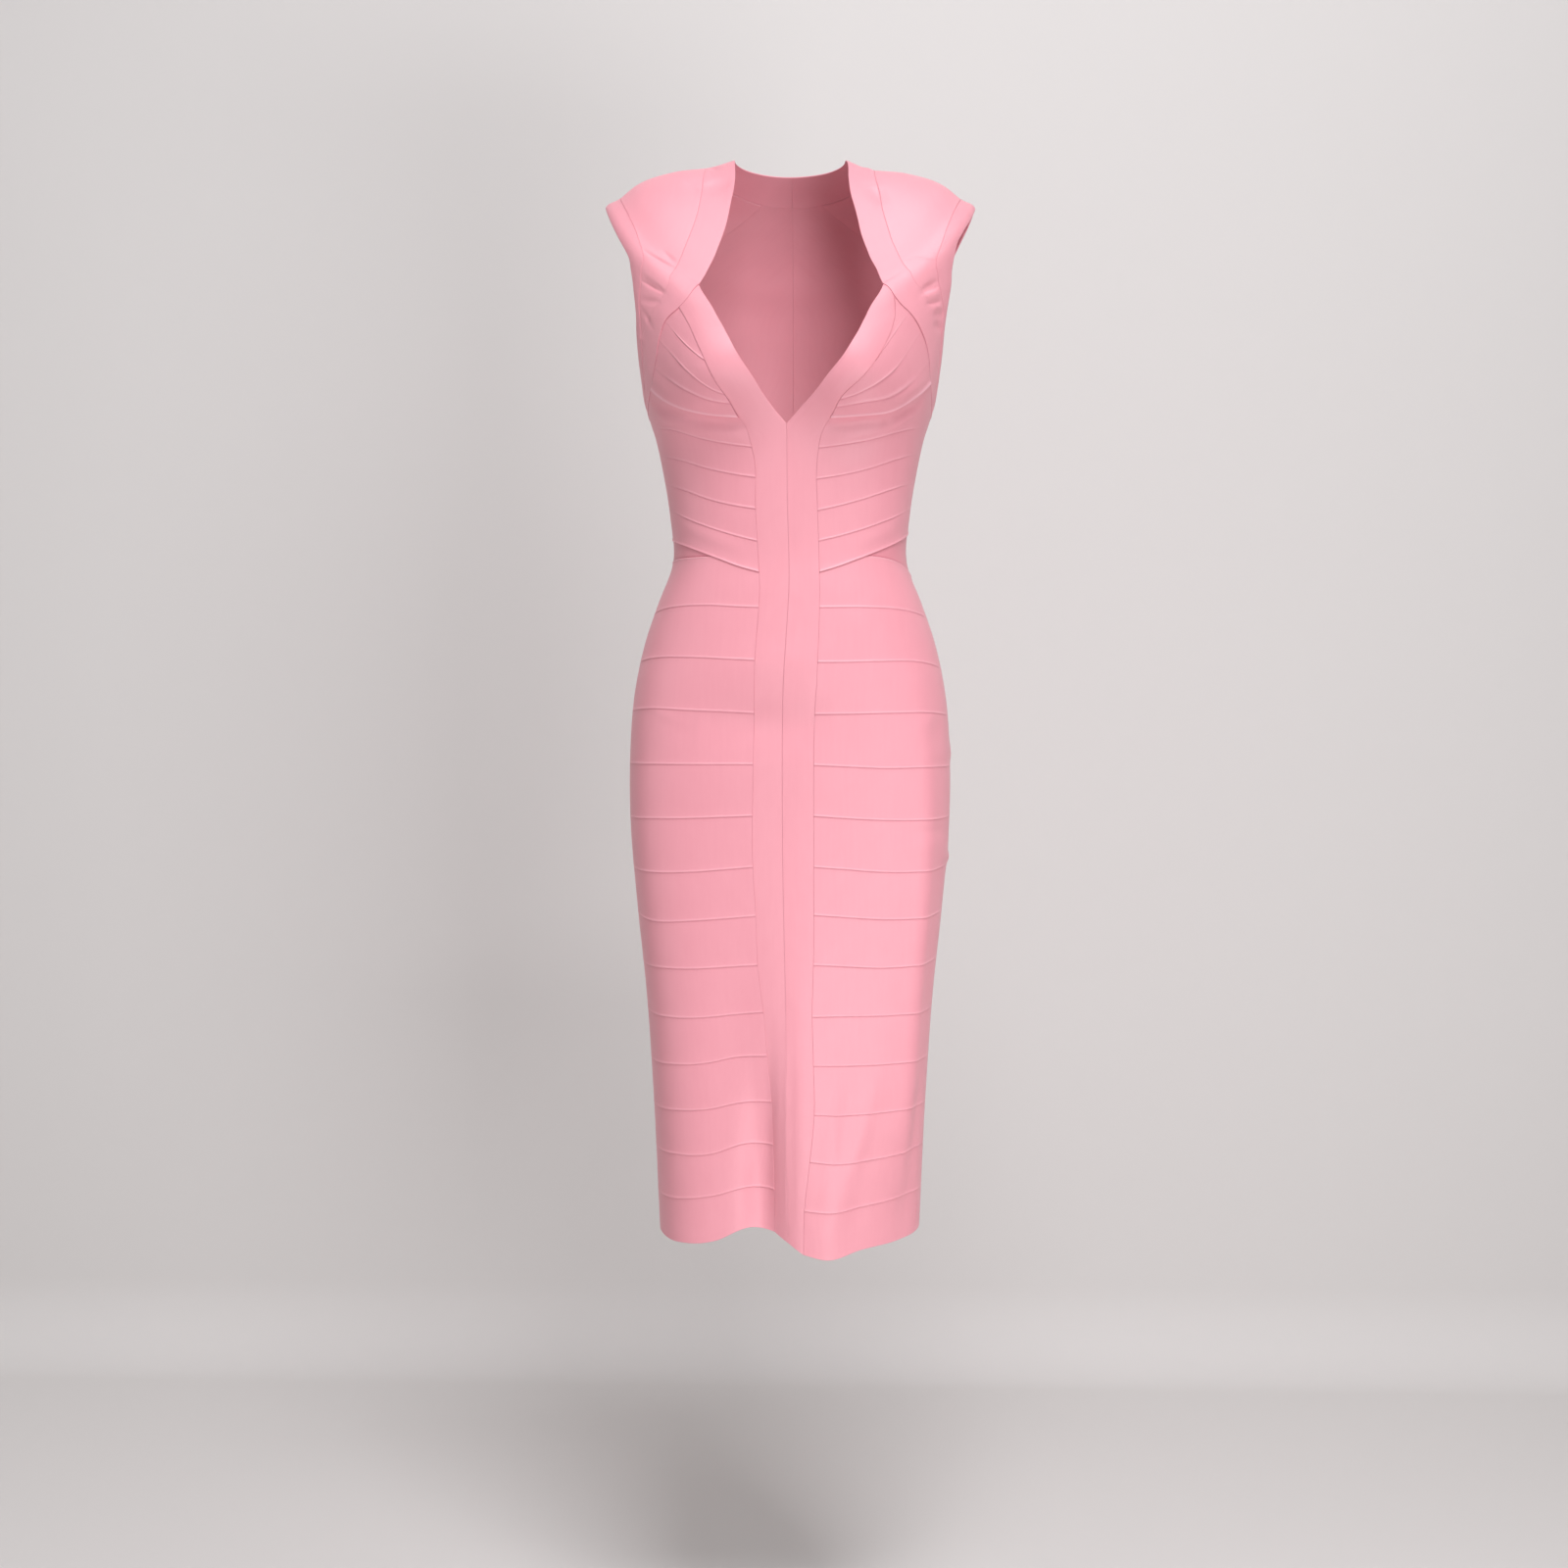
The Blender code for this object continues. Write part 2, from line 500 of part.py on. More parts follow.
def waist_insert(side):
    """Gusset at the side of the waist, its blunt point lying along the skirt."""
    upper_columns = np.array(BODICE_COLUMNS[INSERT_POINT:])
    lower_columns = np.array(SKIRT_COLUMNS[INSERT_POINT + 1:])
    upper = across(BODICE_ROWS[side][-1], upper_columns)
    lower = across(HIP_ROWS[side], lower_columns)
    levels = np.array([upper, (upper + lower) / 2, lower])
    columns = np.array([upper_columns, (upper_columns + lower_columns) / 2, lower_columns])
    starts = edge_angle(BAND_EDGE[side], BODICE_ROWS[side][-1][1])
    sew_piece("waist_insert", side, starts + columns * (90 - starts), levels,
              np.zeros(levels.shape))


def skirt_front(side):
    """Front skirt with thirteen raised seams. Returns the levels at its inner edge."""
    levels, raised = front_rows(SKIRT_ROWS[side], SKIRT_COLUMNS)
    top = np.concatenate([
        across(BODICE_ROWS[side][-1], SKIRT_COLUMNS[:INSERT_POINT + 1]),
        across(HIP_ROWS[side], SKIRT_COLUMNS[INSERT_POINT + 1:]),
    ])
    levels = np.concatenate([[top], levels])
    raised = np.concatenate([[np.zeros(len(top))], raised])
    starts = edge_angle(BAND_EDGE[side], levels[:, 0])
    sew_piece("skirt_front", side, between(starts, np.full(len(starts), 90.0), SKIRT_COLUMNS),
              levels, raised)
    return levels[:, 0]


def slanted_levels(side, edge_levels):
    """Levels at the centre band's inner edge of the rows that end at given outer levels."""
    outer, inner = np.array(BAND_SLANT[side], float).T
    levels = np.where(edge_levels < outer[-1], np.interp(edge_levels, outer, inner), edge_levels)
    levels[np.abs(levels - V_POINT).argmin()] = V_POINT
    levels[-1] = CENTRE_HEM
    return levels


def centre_band(side, edge_levels, centre_levels):
    """Band up the centre front and out along the V neckline to the strap.

    edge_levels are those of its neighbours' rows at its outer edge, and centre_levels those
    that both bands share on the centre seam. Returns the levels of its end on the cup seam.
    """
    inner_levels = slanted_levels(side, edge_levels)
    inner_levels = np.where(inner_levels > V_POINT, centre_levels, inner_levels)
    centre = edge_angle(CENTRE_SEAM, np.maximum(inner_levels, V_POINT)) * SIDES[side]
    neckline = edge_angle(V_NECKLINE[side], np.minimum(inner_levels, V_POINT))
    inner_angles = np.where(inner_levels < V_POINT, neckline, centre)
    outer_angles = edge_angle(BAND_EDGE[side], edge_levels)
    angles = between(inner_angles, outer_angles, CENTRE_BAND_COLUMNS)
    levels = between(inner_levels, edge_levels, CENTRE_BAND_COLUMNS)
    levels[0] = np.linspace(inner_levels[0], edge_levels[0], len(CENTRE_BAND_COLUMNS))
    angles[0] = edge_angle(CUP_SEAM[side], levels[0])
    sew_piece("centre_band", side, angles, levels, np.full(levels.shape, BAND_STAND))
    return levels[0]


# ------------------------------------------------------------------ straps and shoulders
def neck_band(side, seam_levels):
    """Strap from the underarm over the side of the cup, up the neck edge and round the back.

    seam_levels are those of its neighbours' rows at the cup seam, from the underarm up.
    Returns the part of its outer edge that the yoke joins, as angles and levels, and the
    armhole stations below it.
    """
    tip_level = STRAP[side][-1][0]
    below, beside = seam_levels[seam_levels >= tip_level], seam_levels[seam_levels < tip_level]
    shares = length_shares(edge_angle(CUP_SEAM[side], below), below)
    stations = stations_at(ARMHOLE_FRONT[side], 0, STRAP_STATION, shares)
    strap = np.array(STRAP[side], float)
    front = by_station(NECK_BAND_FRONT[side],
                       np.linspace(0, len(NECK_BAND_FRONT[side]) - 1, NECK_FRONT_ROWS + 1)[1:])
    back_angles = np.concatenate([
        np.linspace(90, YOKE_SEAM_TOP, NECK_SHOULDER_ROWS + 1)[1:],
        YOKE_SEAM_TOP + (180 - YOKE_SEAM_TOP) * np.array(BACK_COLUMNS[1:]),
    ])
    back_levels = np.zeros(len(back_angles))
    seam_inner = np.stack([edge_angle(CUP_SEAM[side], seam_levels), seam_levels], axis=-1)
    inner = np.concatenate([seam_inner, front[:, :2],
                            np.stack([back_angles, back_levels], axis=-1)])
    outer = np.concatenate([by_station(ARMHOLE_FRONT[side], stations)[:, 2:],
                            smooth_curve(strap[:, 0], strap[:, 1:], beside), front[:, 2:],
                            np.stack([back_angles, back_levels + NECK_BAND_LEVEL], axis=-1)])
    angles = between(inner[:, 0], outer[:, 0], EDGING_COLUMNS)
    levels = between(inner[:, 1], outer[:, 1], EDGING_COLUMNS)
    sew_piece("neck_band", side, angles, levels, np.full(levels.shape, BAND_STAND))
    return outer[len(below) - 1: len(outer) - len(BACK_COLUMNS) + 1], stations


def shoulder_yoke(side, neck_edge, seam_levels):
    """Cap of the shoulder between the neck band and the armhole band.

    neck_edge runs from the yoke's point in front to the back yoke seam, and seam_levels are
    those of the back bodice's rows on that seam. Returns the stations of its rows on the two
    armhole tables.
    """
    shoulder = np.abs(neck_edge[:, 0] - 90).argmin()
    front_shares = length_shares(*neck_edge[:shoulder + 1].T)
    back_shares = length_shares(*neck_edge[shoulder:].T)[1:]
    front_stations = stations_at(ARMHOLE_FRONT[side], STRAP_STATION,
                                 len(ARMHOLE_FRONT[side]) - 1,
                                 YOKE_POINT + (1 - YOKE_POINT) * front_shares)
    back_stations = stations_at(ARMHOLE_BACK, 0, YOKE_STATION, back_shares)
    far = np.concatenate([by_station(ARMHOLE_FRONT[side], front_stations),
                          by_station(ARMHOLE_BACK, back_stations)])[:, 2:]
    even = np.linspace(0, 1, len(seam_levels))
    seam_shares = (seam_levels - seam_levels[0]) / (seam_levels[-1] - seam_levels[0])
    behind = np.concatenate([np.zeros(len(front_stations)), back_shares])
    columns = even + behind[:, None] * (seam_shares - even)
    angles = neck_edge[:, :1] + columns * (far - neck_edge)[:, :1]
    levels = neck_edge[:, 1:] + columns * (far - neck_edge)[:, 1:]
    sew_piece("shoulder_yoke", side, angles, levels, np.zeros(levels.shape))
    return front_stations, back_stations


def armhole_band(side, front_stations, back_stations):
    """Binding band all round the armhole, joined at the side seam."""
    rows = np.concatenate([by_station(ARMHOLE_FRONT[side], front_stations),
                           by_station(ARMHOLE_BACK, back_stations)])
    angles = between(rows[:, 2], rows[:, 0], EDGING_COLUMNS)
    levels = between(rows[:, 3], rows[:, 1], EDGING_COLUMNS)
    sew_piece("armhole_band", side, angles, levels, np.full(levels.shape, BAND_STAND))


# ------------------------------------------------------------------ back of the dress
def back_rows(rows):
    """Levels and heights of a back panel's grid, from (kind, outer level, centre level)."""
    dip = ease(np.array(BACK_COLUMNS), 0, 1)
    return grid_rows([row[0] for row in rows],
                     [row[1] + (row[2] - row[1]) * dip for row in rows])


def bodice_back(side):
    """Back bodice from the neck band and the yoke seam to the waist.

    Returns the levels of its rows on the yoke seam, and the armhole stations of those below.
    """
    rows = list(BACK_SHOULDER_ROWS)
    for row in BODICE_ROWS[side][3:-1] + (("ridge", *BODICE_ROWS[side][-1][1:]),):
        rows.append((row[0], row[-1], row[-1] + BACK_SEAM_DROP))
    hip = HIP_ROWS[side][-1]
    rows.append(("edge", hip, hip + BACK_SEAM_DROP))
    levels, raised = back_rows(rows)
    outer = levels[:, 0]
    stations = np.linspace(YOKE_STATION, len(ARMHOLE_BACK) - 1, 60)
    armhole = by_station(ARMHOLE_BACK, stations)
    seam_end, underarm = armhole[0, 3], armhole[-1, 3]
    yoke_share = (outer - NECK_BAND_LEVEL) / (seam_end - NECK_BAND_LEVEL)
    on_yoke = YOKE_SEAM_TOP + (armhole[0, 2] - YOKE_SEAM_TOP) * yoke_share
    station = np.interp(outer, armhole[:, 3], stations)
    starts = np.where(outer > seam_end, by_station(ARMHOLE_BACK, station)[:, 2], on_yoke)
    angles = between(starts, np.full(len(starts), 180.0), BACK_COLUMNS)
    sew_piece("bodice_back", side, angles, levels, raised)
    return outer[outer <= seam_end], station[(outer > seam_end) & (outer <= underarm)]


def skirt_back(side):
    """Back skirt, with the raised seams of the front carried on round it."""
    hip = HIP_ROWS[side][-1]
    rows = [("plain", hip, hip + BACK_SEAM_DROP)]
    for row in SKIRT_ROWS[side][:-1]:
        rows.append((row[0], row[-1], row[-1] + BACK_SEAM_DROP))
    rows.append(("plain", SKIRT_ROWS[side][-1][-1], BACK_HEM))
    levels, raised = back_rows(rows)
    angles = 90 + 90 * np.tile(BACK_COLUMNS, (len(levels), 1))
    sew_piece("skirt_back", side, angles, levels, raised)


# ------------------------------------------------------------------ the dress
def front_panels(side):
    """The front's panels. Returns their rows' levels at the centre band and at the cup seam."""
    cup_inner, cup_outer = cup(side)
    bodice_inner, bodice_outer = bodice_front(side)
    waist_insert(side)
    skirt_inner = skirt_front(side)
    underarm = CUP_SEAM[side][-1][0]
    beside_bodice = bodice_outer[(bodice_outer > cup_outer[-1]) & (bodice_outer <= underarm)]
    return (np.concatenate([cup_inner, bodice_inner[1:], skirt_inner[1:]]),
            np.concatenate([cup_outer, beside_bodice]))


def sew_dress():
    """Both halves of the dress."""
    edges = {side: front_panels(side) for side in SIDES}
    centre_levels = np.mean([slanted_levels(side, edges[side][0]) for side in SIDES], axis=0)
    for side in SIDES:
        edge_levels, cup_levels = edges[side]
        band_end = centre_band(side, edge_levels, centre_levels)
        neck_edge, strap_stations = neck_band(side, np.concatenate([band_end, cup_levels])[::-1])
        yoke_seam, underarm_stations = bodice_back(side)
        front_stations, back_stations = shoulder_yoke(side, neck_edge, yoke_seam)
        armhole_band(side, np.concatenate([strap_stations, front_stations]),
                     np.concatenate([back_stations, underarm_stations]))
        skirt_back(side)


for existing in list(bpy.data.objects):
    bpy.data.objects.remove(existing)
sew_dress()
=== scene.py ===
"""A knee-length bodycon dress of pink bandage knit, worn but with nobody in it.

Metres, +Z up. The wearer faces -Y and the wearer's left is at +X. The origin lies between the
shoulders. Every piece of cloth is a patch of one surface, form(angle, level): the angle goes
round the wearer from the centre front, and the level runs down the dress from the neck. Tables
give degrees and millimetres, and count their angles away from the centre front on each side.
"""

import bpy
import numpy as np
from mathutils import Euler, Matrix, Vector


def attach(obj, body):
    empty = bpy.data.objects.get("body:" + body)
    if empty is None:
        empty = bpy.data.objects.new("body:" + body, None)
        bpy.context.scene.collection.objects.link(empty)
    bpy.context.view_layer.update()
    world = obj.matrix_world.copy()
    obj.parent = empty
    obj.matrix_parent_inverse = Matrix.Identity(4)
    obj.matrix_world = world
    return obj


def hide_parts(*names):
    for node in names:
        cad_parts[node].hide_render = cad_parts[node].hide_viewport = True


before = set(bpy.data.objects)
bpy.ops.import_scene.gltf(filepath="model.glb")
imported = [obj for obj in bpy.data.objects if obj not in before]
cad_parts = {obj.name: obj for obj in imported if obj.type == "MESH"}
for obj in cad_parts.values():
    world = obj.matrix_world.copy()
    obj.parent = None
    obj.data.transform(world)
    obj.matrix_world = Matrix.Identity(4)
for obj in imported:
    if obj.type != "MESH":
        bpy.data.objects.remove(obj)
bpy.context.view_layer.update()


# ------------------------------------------------------------------ front skirt
# Two panels of doubled bandage knit, one each side of the centre band. Each is fourteen bands
# joined by fine lapped seams, sewn on at the waist and finished with a plain folded hem.
MM = 0.001
SIDES = {"right": -1, "left": 1}
CLOTH = 1.2 * MM                    # wall of the knit
FOLDED, SEWN = 0.38 * MM, 0.02 * MM     # how far a folded edge and a sewn edge round over
SEAM_SLIT = 0.01 * MM               # half the slit between two sewn edges
EDGE_LINE = 0.6 * MM                # how far inside an edge a grid has one more line
LONGEST_MITRE = 3.0

RING_COLUMNS = ("level", "half_width", "front", "back", "side_y", "side_rise", "front_rise",
                "back_rise", "square")
RINGS = (
    (0, 57, 50, 56, 4, 18.5, -32, 16, 0.00),            # neck opening
    (22, 78, 63, 74, 4, 34, -38, 18, 0.00),
    (60, 120, 80, 93, 5, 67, -42, 22, 0.02),
    (100, 160, 94, 104, 6, 93, -38, 24, 0.03),
    (120, 178, 99, 107, 6, 98.5, -34, 22, 0.03),
    (135, 190, 103, 109, 5, 106, -30, 20, 0.03),      # shoulder tips
    (170, 187, 106, 110, 3, 84, -20, 12, 0.02),
    (205, 167, 105, 108, 0, 44, -8, 6, 0.02),
    (242, 147, 99, 103, 0, 0, 0, 0, 0.03),            # underarm
    (271, 138, 94, 98, 0, 0, 0, 0, 0.03),
    (303, 131, 90, 91, 0, 0, 0, 0, 0.03),
    (350, 123.5, 87, 80, 0, 0, 0, 0, 0.03),
    (397, 120.5, 86, 74, 0, 0, 0, 0, 0.03),           # waist
    (440, 136, 91, 84, 0, 0, 0, 0, 0.03),
    (475, 148, 95, 98, 0, 0, 0, 0, 0.03),
    (524, 159, 98, 111, 0, 0, 0, 0, 0.04),
    (600, 165, 97, 118, 0, 0, 0, 0, 0.05),           # hips
    (660, 164.5, 96, 115, 0, 0, 0, 0, 0.055),
    (750, 157, 96, 104, 0, 0, 0, 0, 0.06),
    (840, 147.5, 97, 94, 0, 0, 0, 0, 0.06),
    (940, 140.5, 99, 86, 0, 0, 0, 0, 0.06),
    (1100, 133, 94, 78, 0, 0, 0, 0, 0.06),            # just below the hem
)
RING_TABLE = np.array(RINGS, float)
RING_TABLE[:, :-1] *= MM
BUST = {"x": 79 * MM, "z": -221 * MM, "push": 36 * MM, "inner": 62 * MM, "outer": 57 * MM,
        "above": 58 * MM, "below": 46 * MM}
# Folds towards the hem: x, half width, how far forward, and the levels where it starts and is full
KNEE_FOLDS = ((-95, 46, 8, 640, 1060), (12, 46, 14, 640, 980), (-21, 20, -14, 860, 1060),
              (44, 26, 7, 960, 1100), (122, 30, -12, 960, 1070))
FRONT_TURN = 0.45                   # cosine from which a front fold has its full depth
LEFT_DROP = 3.8 * MM                # how much lower the left shoulder lies than the right
DROP_TURN = (0.2, 0.9)              # sine between which the drop grows round the shoulder
DROP_GROWS = (-10 * MM, 30 * MM)    # levels between which it grows, and fades again
DROP_FADES = (130 * MM, 235 * MM)


def smooth_curve(knots, values, at):
    """Cubic Hermite pieces through (knot, value), with slopes by central differences."""
    slopes = np.gradient(values, knots, axis=0)
    piece = np.clip(np.searchsorted(knots, at, side="right") - 1, 0, len(knots) - 2)
    step = knots[piece + 1] - knots[piece]
    t = (at - knots[piece]) / step
    if values.ndim > 1:
        step, t = step[:, None], t[:, None]
    return (values[piece] * (1 + 2 * t) * (1 - t) ** 2 + slopes[piece] * step * t * (1 - t) ** 2
            + values[piece + 1] * t * t * (3 - 2 * t) - slopes[piece + 1] * step * t * t * (1 - t))


def ease(value, start, end):
    """0 before start, 1 after end, and 3t^2 - 2t^3 between them."""
    t = np.clip((value - start) / (end - start), 0, 1)
    return t * t * (3 - 2 * t)


def ring(level, column):
    """One named column of the ring table at any level."""
    return smooth_curve(RING_TABLE[:, 0], RING_TABLE[:, RING_COLUMNS.index(column)], level)


def form(angle, level):
    """The worn surface at arrays of angles (radians) and levels (metres).

    A ring is an ellipse squared by its third harmonic, of one depth in front and another
    behind, raised over the shoulders by sin^2 and cos^2 terms, the left shoulder a little less.
    The bust is a lopsided Gaussian push forward, and the knee folds are Gaussian ridges that
    grow towards the hem.
    """
    sine, cosine = np.sin(angle), np.cos(angle)
    square = ring(level, "square")
    in_front = cosine > 0
    depth = np.where(in_front, ring(level, "front"), ring(level, "back"))
    rise = np.where(in_front, ring(level, "front_rise"), ring(level, "back_rise"))
    x = ring(level, "half_width") * (sine + square * np.sin(3 * angle)) / (1 - square)
    y = (ring(level, "side_y") * sine**2
         - depth * (cosine - square * np.cos(3 * angle)) / (1 - square))
    z = -level + ring(level, "side_rise") * sine**2 + rise * cosine**2
    z = z - (LEFT_DROP * ease(sine, *DROP_TURN) * ease(level, *DROP_GROWS)
             * (1 - ease(level, *DROP_FADES)))
    facing = ease(cosine, 0, FRONT_TURN)
    aside, above = np.abs(x) - BUST["x"], z - BUST["z"]
    reach_x = np.where(aside < 0, BUST["inner"], BUST["outer"])
    reach_z = np.where(above > 0, BUST["above"], BUST["below"])
    y = y - BUST["push"] * facing * np.exp(-((aside / reach_x) ** 2) - (above / reach_z) ** 2)
    for fold in KNEE_FOLDS:
        at_x, half_width, forward, starts, full = (value * MM for value in fold)
        grown = facing * ease(level, starts, full)
        y = y - forward * grown * np.exp(-(((x - at_x) / half_width) ** 2))
    return np.stack([x, y, z], axis=-1)


def outward(angle, level):
    """Unit normals: the cross product of small steps down and round the surface."""
    step = 1e-4
    round_it = form(angle + step, level) - form(angle - step, level)
    down_it = form(angle, level + step) - form(angle, level - step)
    normal = np.cross(down_it, round_it)
    return normal / np.linalg.norm(normal, axis=-1, keepdims=True)


# Soft marks of wear all over the dress. Each is a stroke: angle and level of one end, angle and
# level of the other, half width, and how far it stands out. Angles are towards the wearer's left.
STROKES = (
    (-61, 37, -49, 26, 12.0, -3.0), (-64, 55, -55, 51, 5.0, -1.0),         # right yoke
    (-79, 24, -70, 23.5, 3.0, -2.0), (-41.2, 116.2, -36, 116.5, 2.2, -0.9),
    (-45.4, 126.2, -35.8, 119.3, 2.6, 0.7), (-45.9, 130.8, -34.8, 122, 1.3, -0.8),
    (-46.3, 159.7, -37.5, 155.2, 4.6, -1.2), (-46.8, 161.3, -37.7, 157.1, 1.5, -0.9),
    (-39.4, 156, -36.8, 154.1, 2.6, -0.8), (-50, 179.1, -40.6, 169.3, 2.8, -1.1),
    (-51.4, 188.6, -49.1, 193.7, 4.0, -1.2), (-63, 206.7, -57.5, 206.7, 2.0, 0.8),
    (58.4, 40.7, 50, 59.4, 9.0, -2.0), (82, 23, 73.7, 31.6, 4.0, 1.8),     # left yoke
    (38.8, 117.8, 45.8, 140.4, 1.2, 0.5), (42.4, 160.6, 49.3, 166.2, 3.4, -2.0),
    (43, 165, 51, 170.1, 1.6, -0.9), (44.1, 168.4, 52.5, 177.4, 3.6, 1.3),
    (46.9, 177.9, 55.4, 183.7, 1.5, -1.2), (50.3, 183.7, 59.1, 190.2, 3.0, 1.0),
    (54.2, 189.5, 61.3, 194.4, 2.6, -1.3), (56.5, 197.8, 65.3, 203.6, 2.4, -1.4),
    (-60, 226, -42, 244, 6.5, 1.3), (-42, 244, -19, 254, 6.5, 1.3),        # under the bust
    (-64, 241, -40, 262, 5.5, -3.0), (-40, 262, -16, 271, 5.0, -3.2),
    (-62, 252, -38, 273, 5.0, 1.2), (-38, 273, -16, 282, 5.0, 1.2),
    (60, 228, 43, 246, 6.5, 1.3), (43, 246, 19, 255, 6.5, 1.3),
    (62, 242, 42, 264, 5.5, -3.0), (42, 264, 16, 272, 5.0, -3.0),
    (60, 254, 42, 275, 5.0, 1.1), (42, 275, 18, 284, 5.0, 1.1),
    (-28, 566, 14, 566, 24.0, -5.0), (-26, 505, 12, 505, 20.0, 2.4),       # below the belly
    (22, 236, 12, 246, 15.0, 2.0),                                         # left of the V
    (-58, 362, -21, 389, 7.0, 1.1), (28, 389, 61, 364, 7.0, 1.1),          # over the waist seam
    (-46, 558.8, -31.2, 574.7, 4.0, -0.9), (-50, 551, -34, 568, 5.0, 0.6),     # hips
    (39.6, 574.7, 59.2, 556.7, 5.0, 0.9), (52, 578, 66, 565, 6.0, -0.9),
    (87, 584, 84, 600, 5.0, 1.2), (86, 692, 86, 708, 6.0, 1.2),
    (28.5, 672, 78, 671, 5.0, -1.2), (29, 686, 84, 684, 4.5, 1.2),
    (50, 592, 84, 592, 5.0, 0.9), (58, 698, 96, 700, 4.5, 1.2),
    (50, 530, 53, 1020, 20.0, 4.2),                                        # left thigh
    (30, 930, 15, 1068, 13.0, 3.2), (62, 930, 52, 1075, 22.0, -3.4),
    (15.8, 930, 14.5, 1040, 9.0, 2.0),
    (-0.2, 858, -0.1, 1056, 1.5, 0.5), (1.8, 889, 2.3, 1056, 2.4, -0.5),   # centre seam
    (-4.9, 866, -6.9, 1063, 6.0, -1.7), (-8.5, 905, -10.3, 1063, 12.0, -2.4),
    (4.1, 827, 7.1, 990, 9.0, 1.2), (70.3, 1046.7, 65.2, 1079.6, 1.4, 0.9),
    (-120, 372, -160, 392, 7.0, 1.1), (120, 372, 160, 392, 7.0, 1.1),      # small of the back
    (-110, 356, -140, 366, 6.0, -0.8), (112, 358, 146, 368, 6.0, -0.8),
    (118, 704, 164, 716, 6.0, -1.0), (-116, 700, -160, 714, 6.0, -1.0),    # below the seat
    (124, 722, 168, 731, 6.0, 0.8), (-120, 716, -166, 730, 6.0, 0.8),
    (128, 150, 138, 176, 4.0, -1.2), (-128, 150, -138, 176, 4.0, -1.2),    # behind the armholes
    (134, 196, 150, 214, 5.0, -0.9), (-134, 196, -150, 214, 5.0, -0.9),
)
DEGREE_ROUND = 2.6                  # millimetres round the dress to a degree
STROKE_END, STROKE_SWELL = 0.35, 2.6    # share of its height at an end, and how it swells between


def strokes(angle, level):
    """Height (mm) of all the marks: Gaussian across a stroke, and a parabola along it."""
    height = np.zeros(angle.shape)
    for angle_0, level_0, angle_1, level_1, half_width, stands in STROKES:
        along = np.array([(angle_1 - angle_0) * DEGREE_ROUND, level_1 - level_0])
        place = np.stack([(angle - angle_0) * DEGREE_ROUND, level - level_0], axis=-1)
        share = np.clip(place @ along / (along @ along), 0, 1)
        away = np.linalg.norm(place - share[..., None] * along, axis=-1)
        swell = STROKE_END + STROKE_SWELL * share * (1 - share)
        height += stands * np.exp(-((away / half_width) ** 2)) * swell
    return height


def edge_lines(grid):
    """One more row or column a little inside each edge, a mix of the lines on either side.

    They keep the shading of a rounded edge narrow, and so a height or a shade that the edge
    alone has. An edge whose next line is near has no need of one.
    """
    for _ in ("rows", "columns"):
        for _ in ("first", "last"):
            pair = form(np.radians(grid[:2, :, 0]), grid[:2, :, 1] * MM)
            gap = np.linalg.norm(pair[1] - pair[0], axis=-1).mean()
            if gap > 2 * EDGE_LINE:
                beside = grid[1].copy()
                beside[:, :2] = grid[0, :, :2] + (grid[1, :, :2] - grid[0, :, :2]) * EDGE_LINE / gap
                grid = np.concatenate([grid[:1], beside[None], grid[1:]])
            grid = grid[::-1]
        grid = np.swapaxes(grid, 0, 1)
    return grid


def edge_steps(face, normal, roll):
    """Steps in from all four edges, within the surface: as long as the roll, and as the slit.

    The corners are mitred: their two steps are added and made longer, up to a limit.
    """
    steps = np.zeros_like(face)
    for line, inside in ((np.s_[0, :], np.s_[1, :]), (np.s_[-1, :], np.s_[-2, :]),
                         (np.s_[:, 0], np.s_[:, 1]), (np.s_[:, -1], np.s_[:, -2])):
        square = np.cross(normal[line], np.gradient(face[line], axis=0))
        square /= np.linalg.norm(square, axis=1, keepdims=True)
        steps[line] += square * np.sign((square * (face[inside] - face[line])).sum())
    corners = np.ix_((0, -1), (0, -1))
    size = (steps[corners] ** 2).sum(axis=-1, keepdims=True)
    steps[corners] *= 2 / np.maximum(size, (2 / LONGEST_MITRE) ** 2)
    return steps * roll[..., None], steps * SEAM_SLIT


ROLL_TURNS = np.radians((45, 90, 135))      # places on the half circle of a rolled edge


def wall_faces(rows, columns):
    """Faces of a closed wall: a grid outside, one inside, and the roll's loops round the rim.

    Points are numbered outside, inside and loop by loop. The rim's points come back too.
    """
    count = rows * columns
    number = np.arange(count).reshape(rows, columns)
    rim = np.concatenate([number[0, :-1], number[:-1, -1], number[-1, :0:-1], number[:0:-1, 0]])
    cells = np.stack([number[:-1, :-1], number[1:, :-1], number[1:, 1:], number[:-1, 1:]], -1)
    cells = cells.reshape(-1, 4)
    loops = 2 * count + np.arange(len(ROLL_TURNS) * len(rim)).reshape(-1, len(rim))
    bands = [rim, *loops, rim + count]
    faces = [cells, cells[:, ::-1] + count]
    for near, far in zip(bands, bands[1:]):
        faces.append(np.stack([near, np.roll(near, -1), np.roll(far, -1), far], axis=-1))
    return rim, np.concatenate(faces)


